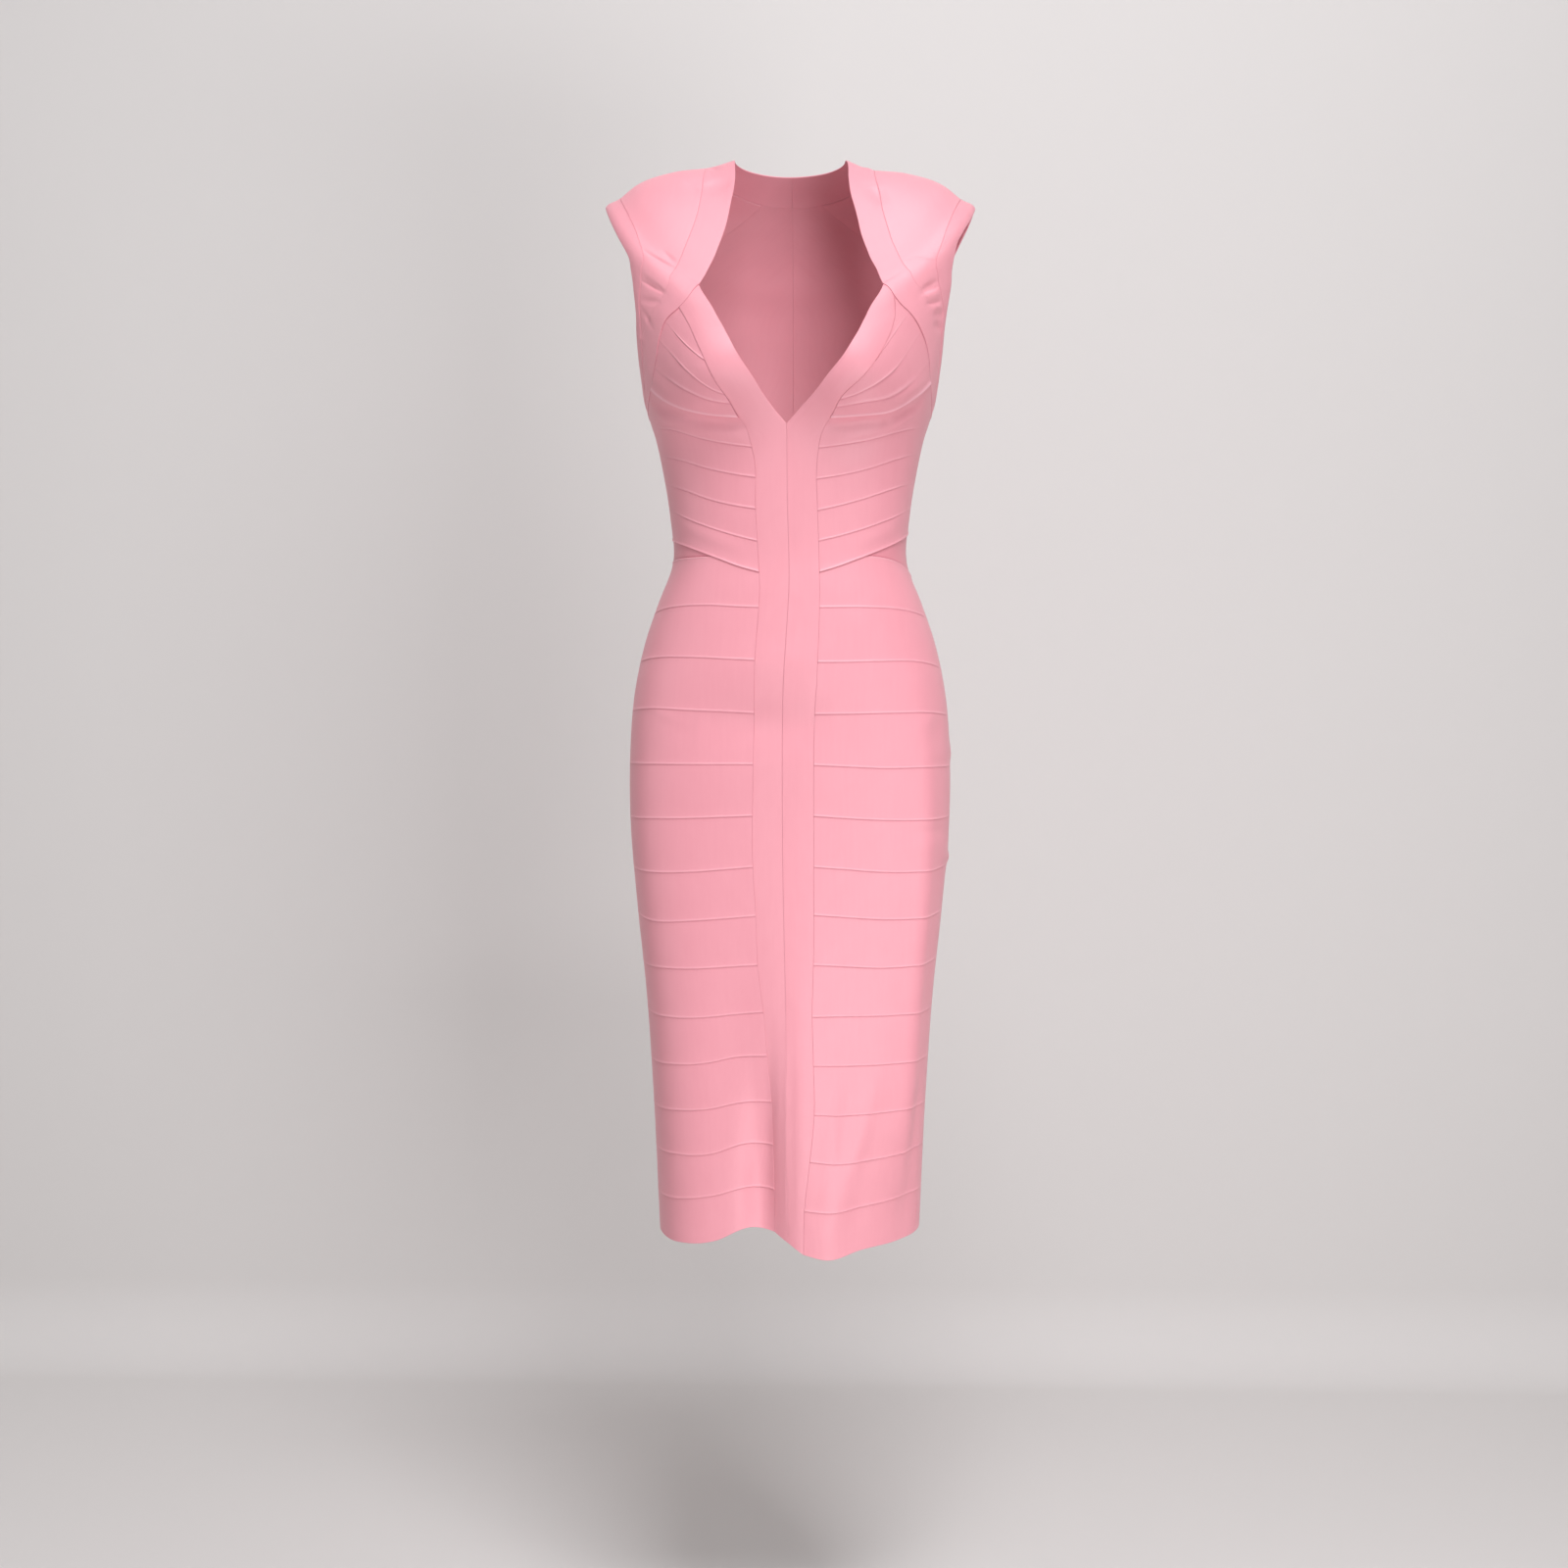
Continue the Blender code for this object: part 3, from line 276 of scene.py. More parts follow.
def cut_cloth(name, side, angles, levels, raised, painted_shading, folds=()):
    """One piece as a closed wall on a grid of angles (degrees), levels and heights (mm).

    The outside is the form moved out by the heights and the strokes, the inside is the form
    moved in by the cloth, and a half ellipse of three more loops rounds the rim between them,
    further where folds says that the edge is folded and not sewn. The UV map holds lengths in
    metres, across and down. The mesh's float attribute holds painted light and shade for the
    knit: above 0 it is painted shade in the depth of a lapped seam or along an edge, below 0 a
    painted highlight on a seam's lip, and 0 away from both.
    """
    roll = np.full(angles.shape, SEWN)
    for edge in folds:
        roll[edge] = FOLDED
    grid = edge_lines(np.stack([angles * SIDES[side], levels, raised, painted_shading, roll], axis=-1))
    signed, levels, raised, painted_shading, roll = np.moveaxis(grid, -1, 0)
    angle, level = np.radians(signed), levels * MM
    face, normal = form(angle, level), outward(angle, level)
    rolled, slit = edge_steps(face, normal, roll)
    steps = rolled + slit
    worn = strokes(signed, levels) * MM
    height = raised * MM + worn
    depth = CLOTH - worn
    outer = face + steps + normal * height[..., None]
    inner = face + steps - normal * depth[..., None]
    rim, faces = wall_faces(*signed.shape)
    half = ((height + depth) / 2).reshape(-1, 1)[rim]
    middle = ((outer + inner) / 2).reshape(-1, 3)[rim]
    over, out = normal.reshape(-1, 3)[rim], -rolled.reshape(-1, 3)[rim]
    loops = [middle + over * half * np.cos(turn) + out * np.sin(turn) for turn in ROLL_TURNS]
    points = np.concatenate([outer.reshape(-1, 3), inner.reshape(-1, 3), *loops])
    down, round_it = outer[1:, :-1] - outer[:-1, :-1], outer[:-1, 1:] - outer[:-1, :-1]
    if (np.cross(down, round_it) * normal[:-1, :-1]).sum() < 0:
        faces = faces[:, ::-1]

    mesh = bpy.data.meshes.new(name)
    mesh.from_pydata(points.tolist(), [], faces.tolist())
    mesh.polygons.foreach_set("use_smooth", np.ones(len(faces), bool))
    flat = np.zeros((*signed.shape, 2))
    flat[:, 1:, 0] = np.cumsum(np.linalg.norm(np.diff(face, axis=1), axis=-1), axis=1)
    flat[1:, :, 1] = np.cumsum(np.linalg.norm(np.diff(face, axis=0), axis=-1), axis=0)
    flat = flat.reshape(-1, 2)
    on_points = np.concatenate([flat, flat] + [flat[rim]] * len(loops))
    corner_points = np.empty(len(mesh.loops), np.int32)
    mesh.loops.foreach_get("vertex_index", corner_points)
    uv = mesh.uv_layers.new(name="cloth")
    uv.data.foreach_set("uv", on_points[corner_points].astype(np.float32).ravel())
    # The seams' painted light and shade go to the mesh as a point attribute
    painted_tone = painted_shading.ravel()
    painted_tone = np.concatenate([painted_tone, 0 * painted_tone] + [painted_tone[rim]] * len(loops))
    mesh.attributes.new("painted_shading", "FLOAT", "POINT").data.foreach_set("value", painted_tone.astype(np.float32))
    piece = bpy.data.objects.new(name, mesh)
    bpy.context.scene.collection.objects.link(piece)
    return piece


# A lapped seam seen in section: the upper band swells to a lip and ends in a shallow tuck.
# Each is a Gaussian: where below the seam line, half width and height (mm). An edge, where one
# piece lies over the next, is bolder, and a lip is bolder still. Each kind also has painted
# shades for the shading attribute, not relief: painted shade down in the tuck and a painted
# highlight on the lip.
LAP = ((-2.2, 4.0, 0.25), (-0.7, 0.9, 0.55), (0.6, 0.65, -0.25))
TUCK_PAINTED_SHADE, LIP_PAINTED_HIGHLIGHT = (0.55, 0.75, 1.0), (-0.9, 0.8, -0.8)
SEAMS = {
    "ridge": (LAP, (TUCK_PAINTED_SHADE, LIP_PAINTED_HIGHLIGHT)),
    "edge": (((-2.2, 4.0, 0.40), (-0.5, 1.3, 0.80)), (TUCK_PAINTED_SHADE, (-0.9, 0.8, -0.5))),
    "lip": (((-2.2, 4.0, 0.45), (-0.5, 1.2, 1.10)), (TUCK_PAINTED_SHADE, (-0.9, 0.8, -1.6))),
}
CROWN = 0.3                         # how far a band swells between two seams
PRESSED = 0.85                      # share of it all that is lost where the cloth is pressed flat
SHADE_LOST, SHADE_FADES = 0.5, (650, 1050)      # the seams' painted shades and highlights weaken between these levels
NEAR_SEAM = (0, 0.006, 0.012, 0.02, 0.03, 0.045, 0.065, 0.10, 0.16, 0.25, 0.37)
AWAY_FROM_SEAM = (0, 0.125, 0.25, 0.375)


def bell(distance, at, half_width):
    """exp(-((distance - at) / half_width)^2)"""
    return np.exp(-(((distance - at) / half_width) ** 2))


def bells(distance, shape):
    """Sum of bells, each given by where it is, its half width and how tall it is."""
    return sum(tall * bell(distance, at, wide) for at, wide, tall in shape)


def pressed(columns, start, end):
    """What is left of a seam's relief, across a panel that is pressed flat from start to end."""
    return 1 - PRESSED * ease(columns, start, end)


def banded(kinds, lines, relief):
    """Levels, heights and tucks of a fine grid, from the kind and levels of each seam line.

    Grid rows go from one line to the next in shares that crowd towards a lapped seam. A height
    is the sum of the laps at both ends and a parabolic crown between two of them. All but the
    lips is multiplied by the relief, which has a value for each column. The third result is
    painted light and shade, not relief: painted shade in each seam's tuck and a painted
    highlight on its lip, weaker lower down the dress.
    """
    levels, raised, painted_shading = [], [], []
    for kind, next_kind, line, next_line in zip(kinds, kinds[1:], lines, lines[1:]):
        start = NEAR_SEAM if kind == "ridge" else AWAY_FROM_SEAM
        end = NEAR_SEAM if next_kind in SEAMS else AWAY_FROM_SEAM
        shares = list(start) + [0.5] + [1 - share for share in end[:0:-1]]
        if next_line is lines[-1]:
            shares.append(1)
        for share in shares:
            level = line + share * (next_line - line)
            height, painted_tone = np.zeros(level.shape), np.zeros(level.shape)
            for seam_kind, seam in ((kind, line), (next_kind, next_line)):
                if seam_kind in SEAMS:
                    shape, shade = SEAMS[seam_kind]
                    worth = relief if seam_kind == "ridge" else 1.0
                    height += worth * bells(level - seam, shape)
                    painted_tone += worth * bells(level - seam, shade)
            if kind == "ridge" and next_kind != "plain":
                height += relief * CROWN * 4 * share * (1 - share)
            levels.append(level)
            raised.append(height)
            painted_shading.append(painted_tone * (1 - SHADE_LOST * ease(level, *SHADE_FADES)))
    return np.array(levels), np.array(raised), np.array(painted_shading)


BAND_EDGE = {                       # edge of the centre band: level, angle
    "right": (
        (163, 31.7), (175, 29.8), (201.3, 28.1), (233.8, 23.9), (248.8, 20.2),
        (262.2, 17.7), (271.8, 15.3), (284.4, 14), (298.1, 13), (352, 13.1), (391, 12.6),
        (429.9, 10.6), (488.9, 10.3), (556.9, 9.7), (615, 9.6), (702.1, 9.7), (755, 9),
        (803.6, 8.7), (861.7, 6.8), (905, 5.9), (940.2, 5), (981.9, 4.7), (1027.6, 4.1),
        (1087.8, 4.1),
    ),
    "left": (
        (150.3, 30.8), (177.8, 33.3), (200.4, 33.3), (214.5, 31.2), (229.5, 26.7),
        (242, 20.9), (261.3, 16.7), (276.6, 13.4), (298.1, 12), (352, 12.7), (391, 13.7),
        (449.9, 12), (507.9, 9.8), (555.9, 8.3), (614, 7.7), (706.1, 7.7), (803.4, 8.1),
        (850.6, 8), (899.1, 8.6), (949.3, 9.1), (996.4, 7.8), (1044.8, 6.1), (1097.5, 5.9),
    ),
}
# A row is a seam's levels at these shares of the way from the centre band to the side
ACROSS = (0, 0.10, 0.25, 0.50, 0.75, 1)
WAIST_SEAM = {
    "right": (414, 409, 400, 387.5, 379, 373),
    "left": (414.3, 409, 400.3, 387.5, 376.5, 367),
}
HIP_SEAM = {                        # below the waist insert
    "right": (397, 397, 397, 396.5, 396.3, 396.5),
    "left": (397, 397, 396.5, 398, 403.5, 411.5),
}
SKIRT_KINDS = ("ridge",) * 13 + ("plain",)      # the last row is the hem
SKIRT_ROWS = {
    "right": (
        (449.4, 448.4, 446.4, 446.4, 449, 452.6),
        (502.2, 500.9, 498.9, 497.4, 499, 502),
        (554.4, 552.9, 551.4, 548.9, 549.5, 551),
        (605, 605, 605, 604.5, 604, 604),
        (656.1, 657.1, 658.5, 659.1, 659, 658.5),
        (706.7, 709.1, 711.9, 713, 710.5, 707),
        (755.2, 757.5, 760.4, 762.4, 757.9, 753),
        (803.6, 805.4, 807.9, 808.6, 806.8, 803),
        (849.8, 852.3, 856.2, 857.5, 855, 852),
        (893, 894, 900.9, 904.6, 904.3, 902),
        (938.8, 939.1, 946.2, 950.1, 950, 948),
        (982, 980.6, 990.7, 993.9, 993.5, 991),
        (1026.6, 1024.6, 1032.5, 1038.7, 1039, 1037),
        (1068.9, 1065.3, 1077.8, 1082.7, 1080, 1079),
    ),
    "left": (
        (449.6, 449.3, 448.9, 449.9, 453.5, 457),
        (504.2, 503.9, 502.9, 501.9, 505, 509),
        (555.5, 555.2, 554.4, 553.2, 554, 556),
        (605.8, 607, 608.7, 608, 607, 606),
        (656.1, 658.1, 660.1, 660.4, 658.6, 657),
        (706.6, 708.6, 711.5, 711.8, 708.5, 703.5),
        (754, 756, 758.5, 758.5, 754.9, 751),
        (803.1, 804.6, 806.8, 805.8, 802.8, 800),
        (854, 854.1, 854.5, 854.1, 852.7, 851),
        (901.8, 902.8, 903.1, 902.2, 901.5, 900),
        (949.8, 951.6, 951.1, 949.6, 948.8, 948),
        (996.1, 999.3, 997.8, 994, 991, 989),
        (1044.7, 1047.2, 1043.6, 1039.5, 1037.2, 1034),
        (1088.2, 1093.7, 1087.2, 1083.8, 1081, 1078),
    ),
}
INSERT_POINT, INSERT_FOOT = 0.31, 0.36      # ends of the waist insert's blunt point
HEM_FOLD = (np.s_[-1, :],)          # a folded lower edge, as a place in a piece's grid


def edge_angle(table, level):
    """Angle in degrees of an edge that a table gives by level."""
    knots, angles = np.array(table, float).T
    return smooth_curve(knots, angles, level)


def across(row, columns):
    """Levels of a table row at shares of a panel's width."""
    return smooth_curve(np.array(ACROSS), np.array(row, float), np.asarray(columns, float))


def between(near, far, columns):
    """A grid going straight from near to far, row by row."""
    return near[:, None] + np.asarray(columns) * (far - near)[:, None]


class Wire:
    """A socket in a material's node tree. Python's operators on it add Math nodes."""

    def __init__(self, tree, socket=None):
        self.tree, self.socket = tree, socket

    def node(self, kind, settings=None, sockets=None, output=0):
        """A node of any other kind: its settings first, then its sockets' values or wires."""
        made = self.tree.nodes.new(kind)
        for name, value in (settings or {}).items():
            setattr(made, name, value)
        for name, value in (sockets or {}).items():
            if isinstance(value, Wire):
                self.tree.links.new(value.socket, made.inputs[name])
            else:
                made.inputs[name].default_value = value
        return Wire(self.tree, made.outputs[output])

    def maths(self, operation, first, second=None):
        """A Math node on one or two values or wires."""
        sockets = {0: first} if second is None else {0: first, 1: second}
        return self.node("ShaderNodeMath", {"operation": operation}, sockets)

    def __add__(self, other):
        return self.maths("ADD", self, other)

    def __radd__(self, other):
        return self.maths("ADD", other, self)

    def __sub__(self, other):
        return self.maths("SUBTRACT", self, other)

    def __rsub__(self, other):
        return self.maths("SUBTRACT", other, self)

    def __mul__(self, other):
        return self.maths("MULTIPLY", self, other)

    def __rmul__(self, other):
        return self.maths("MULTIPLY", other, self)

    def __truediv__(self, other):
        return self.maths("DIVIDE", self, other)

    def __rtruediv__(self, other):
        return self.maths("DIVIDE", other, self)

    def __abs__(self):
        return self.maths("ABSOLUTE", self)

    def part(self):
        """What is left above the whole number."""
        return self.maths("FRACT", self)

    def sine(self):
        """The sine of an angle in radians."""
        return self.maths("SINE", self)

    def blend(self, first, second):
        """Colour that goes from first to second as this value goes from 0 to 1."""
        return self.node("ShaderNodeMix", {"data_type": "RGBA"},
                         {0: self, 6: first, 7: second}, output=2)


WALE, COURSE = 1.15 * MM, 0.85 * MM         # a stitch across and down
STITCH_DEPTH = 0.16 * MM
STREAKS, CLOUDS = (260, 22), 38.0           # to a metre: streaks across and down, and clouds
PINK = (0.82, 0.335, 0.395)
PINK_LIT, PINK_DEEP = (0.87, 0.385, 0.45), (0.725, 0.26, 0.31)
# Colours of the seams' painted highlight and painted shade
SEAM_PAINTED_HIGHLIGHT, SEAM_PAINTED_SHADE = (0.93, 0.50, 0.57), (0.60, 0.19, 0.24)
GOES_LIT, GOES_DEEP = 0.5, 0.45             # how far a knit's tones go from its own colour
# Streaks and clouds are the yarn's own uneven tone. The stitch's share is painted light and shade:
# lighter on each stitch, darker in the grooves between columns.
STREAK_TONE, CLOUD_TONE, STITCH_PAINTED_SHADING, TONE_FLOOR = 0.30, 0.22, 0.28, 0.10
PAINTED_SHADE_STRENGTH, PAINTED_HIGHLIGHT_STRENGTH = 0.40, 0.50     # how much painted shade darkens and painted highlight lightens, at 1 and -1 of the shading
FIBRE_ROUGH, STREAK_ROUGH, GROOVE_ROUGH = 0.31, 0.12, 0.08
STITCH_RELIEF, STREAK_RELIEF = 0.55, 0.25   # strength of the bump, and the streaks' part in it
FIBRE_FINISH = {"Sheen Weight": 0.03, "Sheen Roughness": 0.45, "Sheen Tint": (1.0, 0.82, 0.86, 1),
                "Specular IOR Level": 0.50}


def mixed(colour, other, share):
    """A colour that is a share of the way from one to another."""
    return [(1 - share) * channel + share * target for channel, target in zip(colour, other)]


def knit(name, base, stitch_size=1.0):
    """Bandage knit: columns of V stitches in relief, streaked along the wale, with a soft sheen.

    A stitch's height is (1 - x^2) (0.6 + 0.4 sin 2 pi (course + 0.35 x)), where x goes from 0 in
    the middle of its column to 1 between two columns. Its tone, the streaks' and the clouds' add
    up to the mix of a deep and a lit pink. The streaks and clouds are the yarn's own uneven
    colour; the stitch's tone is painted light and shade, lighter on each stitch and darker in
    the grooves between columns. The mesh's shading attribute then darkens that with painted
    shade in the seams' tucks and along edges, and lightens it with painted highlight on the lips.
    """
    material = bpy.data.materials.new(name)
    material.use_nodes = True
    shader = material.node_tree.nodes["Principled BSDF"]
    tree = Wire(material.node_tree)
    flat = tree.node("ShaderNodeUVMap", {"uv_map": "cloth"})
    wale, course = [tree.node("ShaderNodeSeparateXYZ", None, {0: flat}, output=axis)
                    for axis in (0, 1)]
    column, row = wale / (WALE * stitch_size), course / (COURSE * stitch_size)
    aside = abs(column.part() - 0.5) * 2
    stitch = (1 - aside * aside) * (0.6 + 0.4 * ((row + 0.35 * aside) * (2 * np.pi)).sine())
    spread = tree.node("ShaderNodeCombineXYZ", None,
                       {0: wale * STREAKS[0], 1: course * STREAKS[1]})
    streak = tree.node("ShaderNodeTexNoise", {"noise_dimensions": "2D"},
                       {"Vector": spread, "Scale": 1.0, "Detail": 3.0, "Roughness": 0.6})
    cloud = tree.node("ShaderNodeTexNoise", {"noise_dimensions": "2D"},
                      {"Vector": flat, "Scale": CLOUDS, "Detail": 2.0})
    painted_shading = tree.node("ShaderNodeAttribute", {"attribute_name": "painted_shading"}, output=2)
    # The stitch term paints light and shade of the knit's relief into the colour
    tone = STREAK_TONE * streak + CLOUD_TONE * cloud + STITCH_PAINTED_SHADING * stitch + TONE_FLOOR
    colour = tone.blend((*mixed(base, PINK_DEEP, GOES_DEEP), 1),
                        (*mixed(base, PINK_LIT, GOES_LIT), 1))
    # Painted shade in the seams' tucks and along edges, then painted highlight on their lips
    colour = (painted_shading * PAINTED_SHADE_STRENGTH).blend(colour, (*SEAM_PAINTED_SHADE, 1))
    colour = (painted_shading * -PAINTED_HIGHLIGHT_STRENGTH).blend(colour, (*SEAM_PAINTED_HIGHLIGHT, 1))
    rough = FIBRE_ROUGH + STREAK_ROUGH * streak + GROOVE_ROUGH * (1 - stitch)
    bump = tree.node("ShaderNodeBump", None,
                     {"Strength": STITCH_RELIEF, "Distance": STITCH_DEPTH,
                      "Height": stitch + STREAK_RELIEF * streak})
    for socket, wire in (("Base Color", colour), ("Roughness", rough), ("Normal", bump)):
        material.node_tree.links.new(wire.socket, shader.inputs[socket])
    for socket, value in FIBRE_FINISH.items():
        shader.inputs[socket].default_value = value
    return material


def sew_in(piece, cloth, node, side):
    """Gives a piece its cloth and says which solid it stands for. The dress is all one body."""
    piece.data.materials.append(cloth)
    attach(piece, "root")
    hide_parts(f"{node}_{side}")


# Shares of a skirt panel's width, closest along the blunt point of the insert
SKIRT_COLUMNS = np.unique(np.concatenate([
    np.linspace(0, INSERT_POINT, 34), np.linspace(INSERT_POINT, INSERT_FOOT, 7),
    np.linspace(INSERT_FOOT, 1, 66)]).round(6))
SKIRT_FLAT = (0.72, 0.92)           # shares of the width between which its seams press flat
BAND_SHADE, BAND_SHADE_FADES = 0.3, (480, 700)      # painted shade along the centre band's edge, and the levels where it fades on the skirt


def skirt_front(side):
    """Waist to hem, between the centre band and the side seam, with a lip over the insert."""
    lines = np.array([across(row, SKIRT_COLUMNS) for row in SKIRT_ROWS[side]])
    waist, hip = across(WAIST_SEAM[side], SKIRT_COLUMNS), across(HIP_SEAM[side], SKIRT_COLUMNS)
    point = across(WAIST_SEAM[side], [INSERT_POINT])[0]
    foot = across(HIP_SEAM[side], [INSERT_FOOT])[0]
    top = np.where(SKIRT_COLUMNS <= INSERT_POINT, waist, np.where(
        SKIRT_COLUMNS >= INSERT_FOOT, hip,
        np.interp(SKIRT_COLUMNS, (INSERT_POINT, INSERT_FOOT), (point, foot))))
    levels, raised, painted_shading = banded(("ridge", *SKIRT_KINDS), [top, *lines],
                                  pressed(SKIRT_COLUMNS, *SKIRT_FLAT))
    on_insert = ease(SKIRT_COLUMNS, INSERT_POINT, INSERT_FOOT)
    raised += on_insert * (bells(top - levels, LAP) - bells(levels - top, LAP))
    # Along the insert the skirt's top edge is a lip: its painted shade is taken away and a painted
    # highlight put there
    painted_shading += on_insert * (bells(top - levels, (LIP_PAINTED_HIGHLIGHT,)) - bells(levels - top, (TUCK_PAINTED_SHADE,)))
    # Painted shade along the centre band's edge, fading down the skirt
    painted_shading[:, 0] += BAND_SHADE * (1 - ease(levels[:, 0], *BAND_SHADE_FADES))
    starts = edge_angle(BAND_EDGE[side], levels[:, 0])
    angles = between(starts, np.full(len(starts), 90.0), SKIRT_COLUMNS)
    return cut_cloth(f"front_skirt_{side}", side, angles, levels, raised, painted_shading, HEM_FOLD)


skirt_knit = knit("skirt_knit", PINK)
for side in SIDES:
    piece = skirt_front(side)
    sew_in(piece, skirt_knit, "skirt_front", side)


# ------------------------------------------------------------------ back skirt
# Two plain panels with a centre-back seam. The front's bands carry on round them and meet at
# that seam, and the cloth is eased over the seat.
BACK_HEM = 1079
BACK_SEAM_DROP = 3                  # how much lower the centre back is than the sides' mean
BACK_COLUMNS = np.linspace(0, 1, 61)
BACK_FLAT = (0.35, 0.05)            # its seams press flat towards the side seam


def back_panel(rows):
    """Banded grid from rows of (kind, level at the outer edge, level at the centre back)."""
    dip = ease(BACK_COLUMNS, 0, 1)
    lines = [outer + (centre - outer) * dip for kind, outer, centre in rows]
    return banded([row[0] for row in rows], lines, pressed(BACK_COLUMNS, *BACK_FLAT))


def carried_back(side, right, left):
    """Levels of a front seam at the side, and at the centre back, where both sides' meet."""
    own = right if side == "right" else left
    return own[-1], (right[-1] + left[-1]) / 2 + BACK_SEAM_DROP


def skirt_back(side):
    """Waist to hem, from the side seam to the centre back."""
    rows = [("plain", *carried_back(side, **HIP_SEAM))]
    rows += [(kind, *carried_back(side, *pair))
             for kind, *pair in zip(SKIRT_KINDS[:-1], *SKIRT_ROWS.values())]
    rows.append(("plain", SKIRT_ROWS[side][-1][-1], BACK_HEM))
    levels, raised, painted_shading = back_panel(rows)
    angles = 90 + 90 * np.tile(BACK_COLUMNS, (len(levels), 1))
    return cut_cloth(f"back_skirt_{side}", side, angles, levels, raised, painted_shading, HEM_FOLD)


for side in SIDES:
    piece = skirt_back(side)
    sew_in(piece, skirt_knit, "skirt_back", side)


# ------------------------------------------------------------------ waist inserts
# A small gusset of the same knit at each side of the waist, its point between bodice and skirt.
GUSSET_PINK = (0.68, 0.23, 0.28)    # darker, because the bodice's edge shades it
INSERT_COLUMNS = np.linspace(0, 1, 41)
INSERT_ROWS = np.array((0, 0.03, 0.08, 0.15, 0.3, 0.5, 0.7, 0.85, 0.92, 0.97, 1))
INSERT_SHADES = (1.2, 2.4)          # painted shade under the bodice's edge, and along the skirt
INSERT_SINKS = -0.5                 # height of its lower edge, which dips under the skirt's
INSERT_EDGE = 1.0                   # half width of those shades and of that dip


def waist_insert(side):
    """From under the bodice's edge down to the skirt, with its blunt point along the skirt."""
    upper_share = INSERT_POINT + (1 - INSERT_POINT) * INSERT_COLUMNS
    lower_share = INSERT_FOOT + (1 - INSERT_FOOT) * INSERT_COLUMNS
    upper, lower = across(WAIST_SEAM[side], upper_share), across(HIP_SEAM[side], lower_share)
    down = INSERT_ROWS[:, None]
    levels = upper + down * (lower - upper)
    shares = upper_share + down * (lower_share - upper_share)
    start = edge_angle(BAND_EDGE[side], WAIST_SEAM[side][0])
    at_top, at_foot = (bell(levels - line, 0, INSERT_EDGE) for line in (upper, lower))
    # Painted shade under the bodice's edge and along the skirt
    painted_shading = INSERT_SHADES[0] * at_top + INSERT_SHADES[1] * at_foot
    return cut_cloth(f"gusset_{side}", side, start + shares * (90 - start), levels,
                     INSERT_SINKS * at_foot, painted_shading)


gusset_knit = knit("gusset_knit", GUSSET_PINK)
for side in SIDES:
    piece = waist_insert(side)
    sew_in(piece, gusset_knit, "waist_insert", side)


# ------------------------------------------------------------------ cups
# The bust cups, each a fan of bands that curve from the centre band to the strap. The lowest
# band ends in a lip that lies over the bodice.
CUP_SEAM = {                        # strap over the cup's outer side: level, angle
    "right": (
        (122.3, 26), (143, 27.1), (163, 31.7), (187.5, 40.7), (204.9, 47.3), (219.1, 52.8),
        (232.3, 61.3), (239, 70), (244, 79), (248, 90),
    ),
    "left": (
        (128, 28), (150.3, 30.8), (175.7, 38.4), (197, 47.9), (207.6, 53.7), (219, 60.3),
        (230, 67), (238, 75), (243.5, 82), (248, 90),
    ),
}
CUP_KINDS = ("plain",) * 3 + ("ridge",) * 3 + ("lip",)
CUP_ROWS = {
    "right": (
        (163, 163.3, 164, 165.1, 166.2, 167.5),
        (179.2, 178.6, 177.8, 175.7, 173.8, 172.1),
        (197.1, 195.9, 193.6, 188.9, 183.6, 177.7),
        (213.9, 212.2, 208.8, 202.1, 193.8, 185.4),
        (242.9, 241.1, 236.6, 226.1, 214.1, 203.8),
        (250.8, 249.8, 247, 238.9, 230, 222.2),
        (263.5, 262.8, 261.2, 254.3, 244.3, 233.7),
    ),
    "left": (
        (150.3, 150.8, 151.5, 152.8, 154.1, 155.3),
        (172.6, 171.5, 169.8, 166.7, 163.7, 160.8),
        (195, 192.8, 189.1, 182.1, 174.7, 167.4),
        (215.6, 212.2, 206.7, 195.9, 185.3, 177),
        (247.4, 245.9, 242.1, 233.5, 221.1, 199.1),
        (254.1, 252.8, 250, 244.5, 233.3, 219.5),
        (264.1, 263.6, 262.3, 256.8, 242.8, 230.8),
    ),
}
CUP_COLUMNS = np.linspace(0, 1, 61)
CUP_FLAT = (0.62, 0.86)             # shares of the width between which its seams press flat
CUP_SHADES = {"right": (2.5, 3.0), "left": (0, 3.0)}    # painted shade along the centre band and under the strap


def front_panel(kinds, rows, columns, flat):
    """Banded grid from table rows, whose seams press flat between two shares of its width."""
    return banded(kinds, [across(row, columns) for row in rows], pressed(columns, *flat))


def cup(side):
    """A fan of bands between the centre band's edge and the cup seam."""
    levels, raised, painted_shading = front_panel(CUP_KINDS, CUP_ROWS[side], CUP_COLUMNS, CUP_FLAT)
    # Painted shade along the centre band's edge and under the strap
    painted_shading[:, 0] += CUP_SHADES[side][0]
    painted_shading[:, -1] += CUP_SHADES[side][1]
    angles = between(edge_angle(BAND_EDGE[side], levels[:, 0]),
                     edge_angle(CUP_SEAM[side], levels[:, -1]), CUP_COLUMNS)
    return cut_cloth(f"bust_cup_{side}", side, angles, levels, raised, painted_shading, HEM_FOLD)


cup_knit = knit("cup_knit", PINK)
for side in SIDES:
    piece = cup(side)
    sew_in(piece, cup_knit, "cup", side)


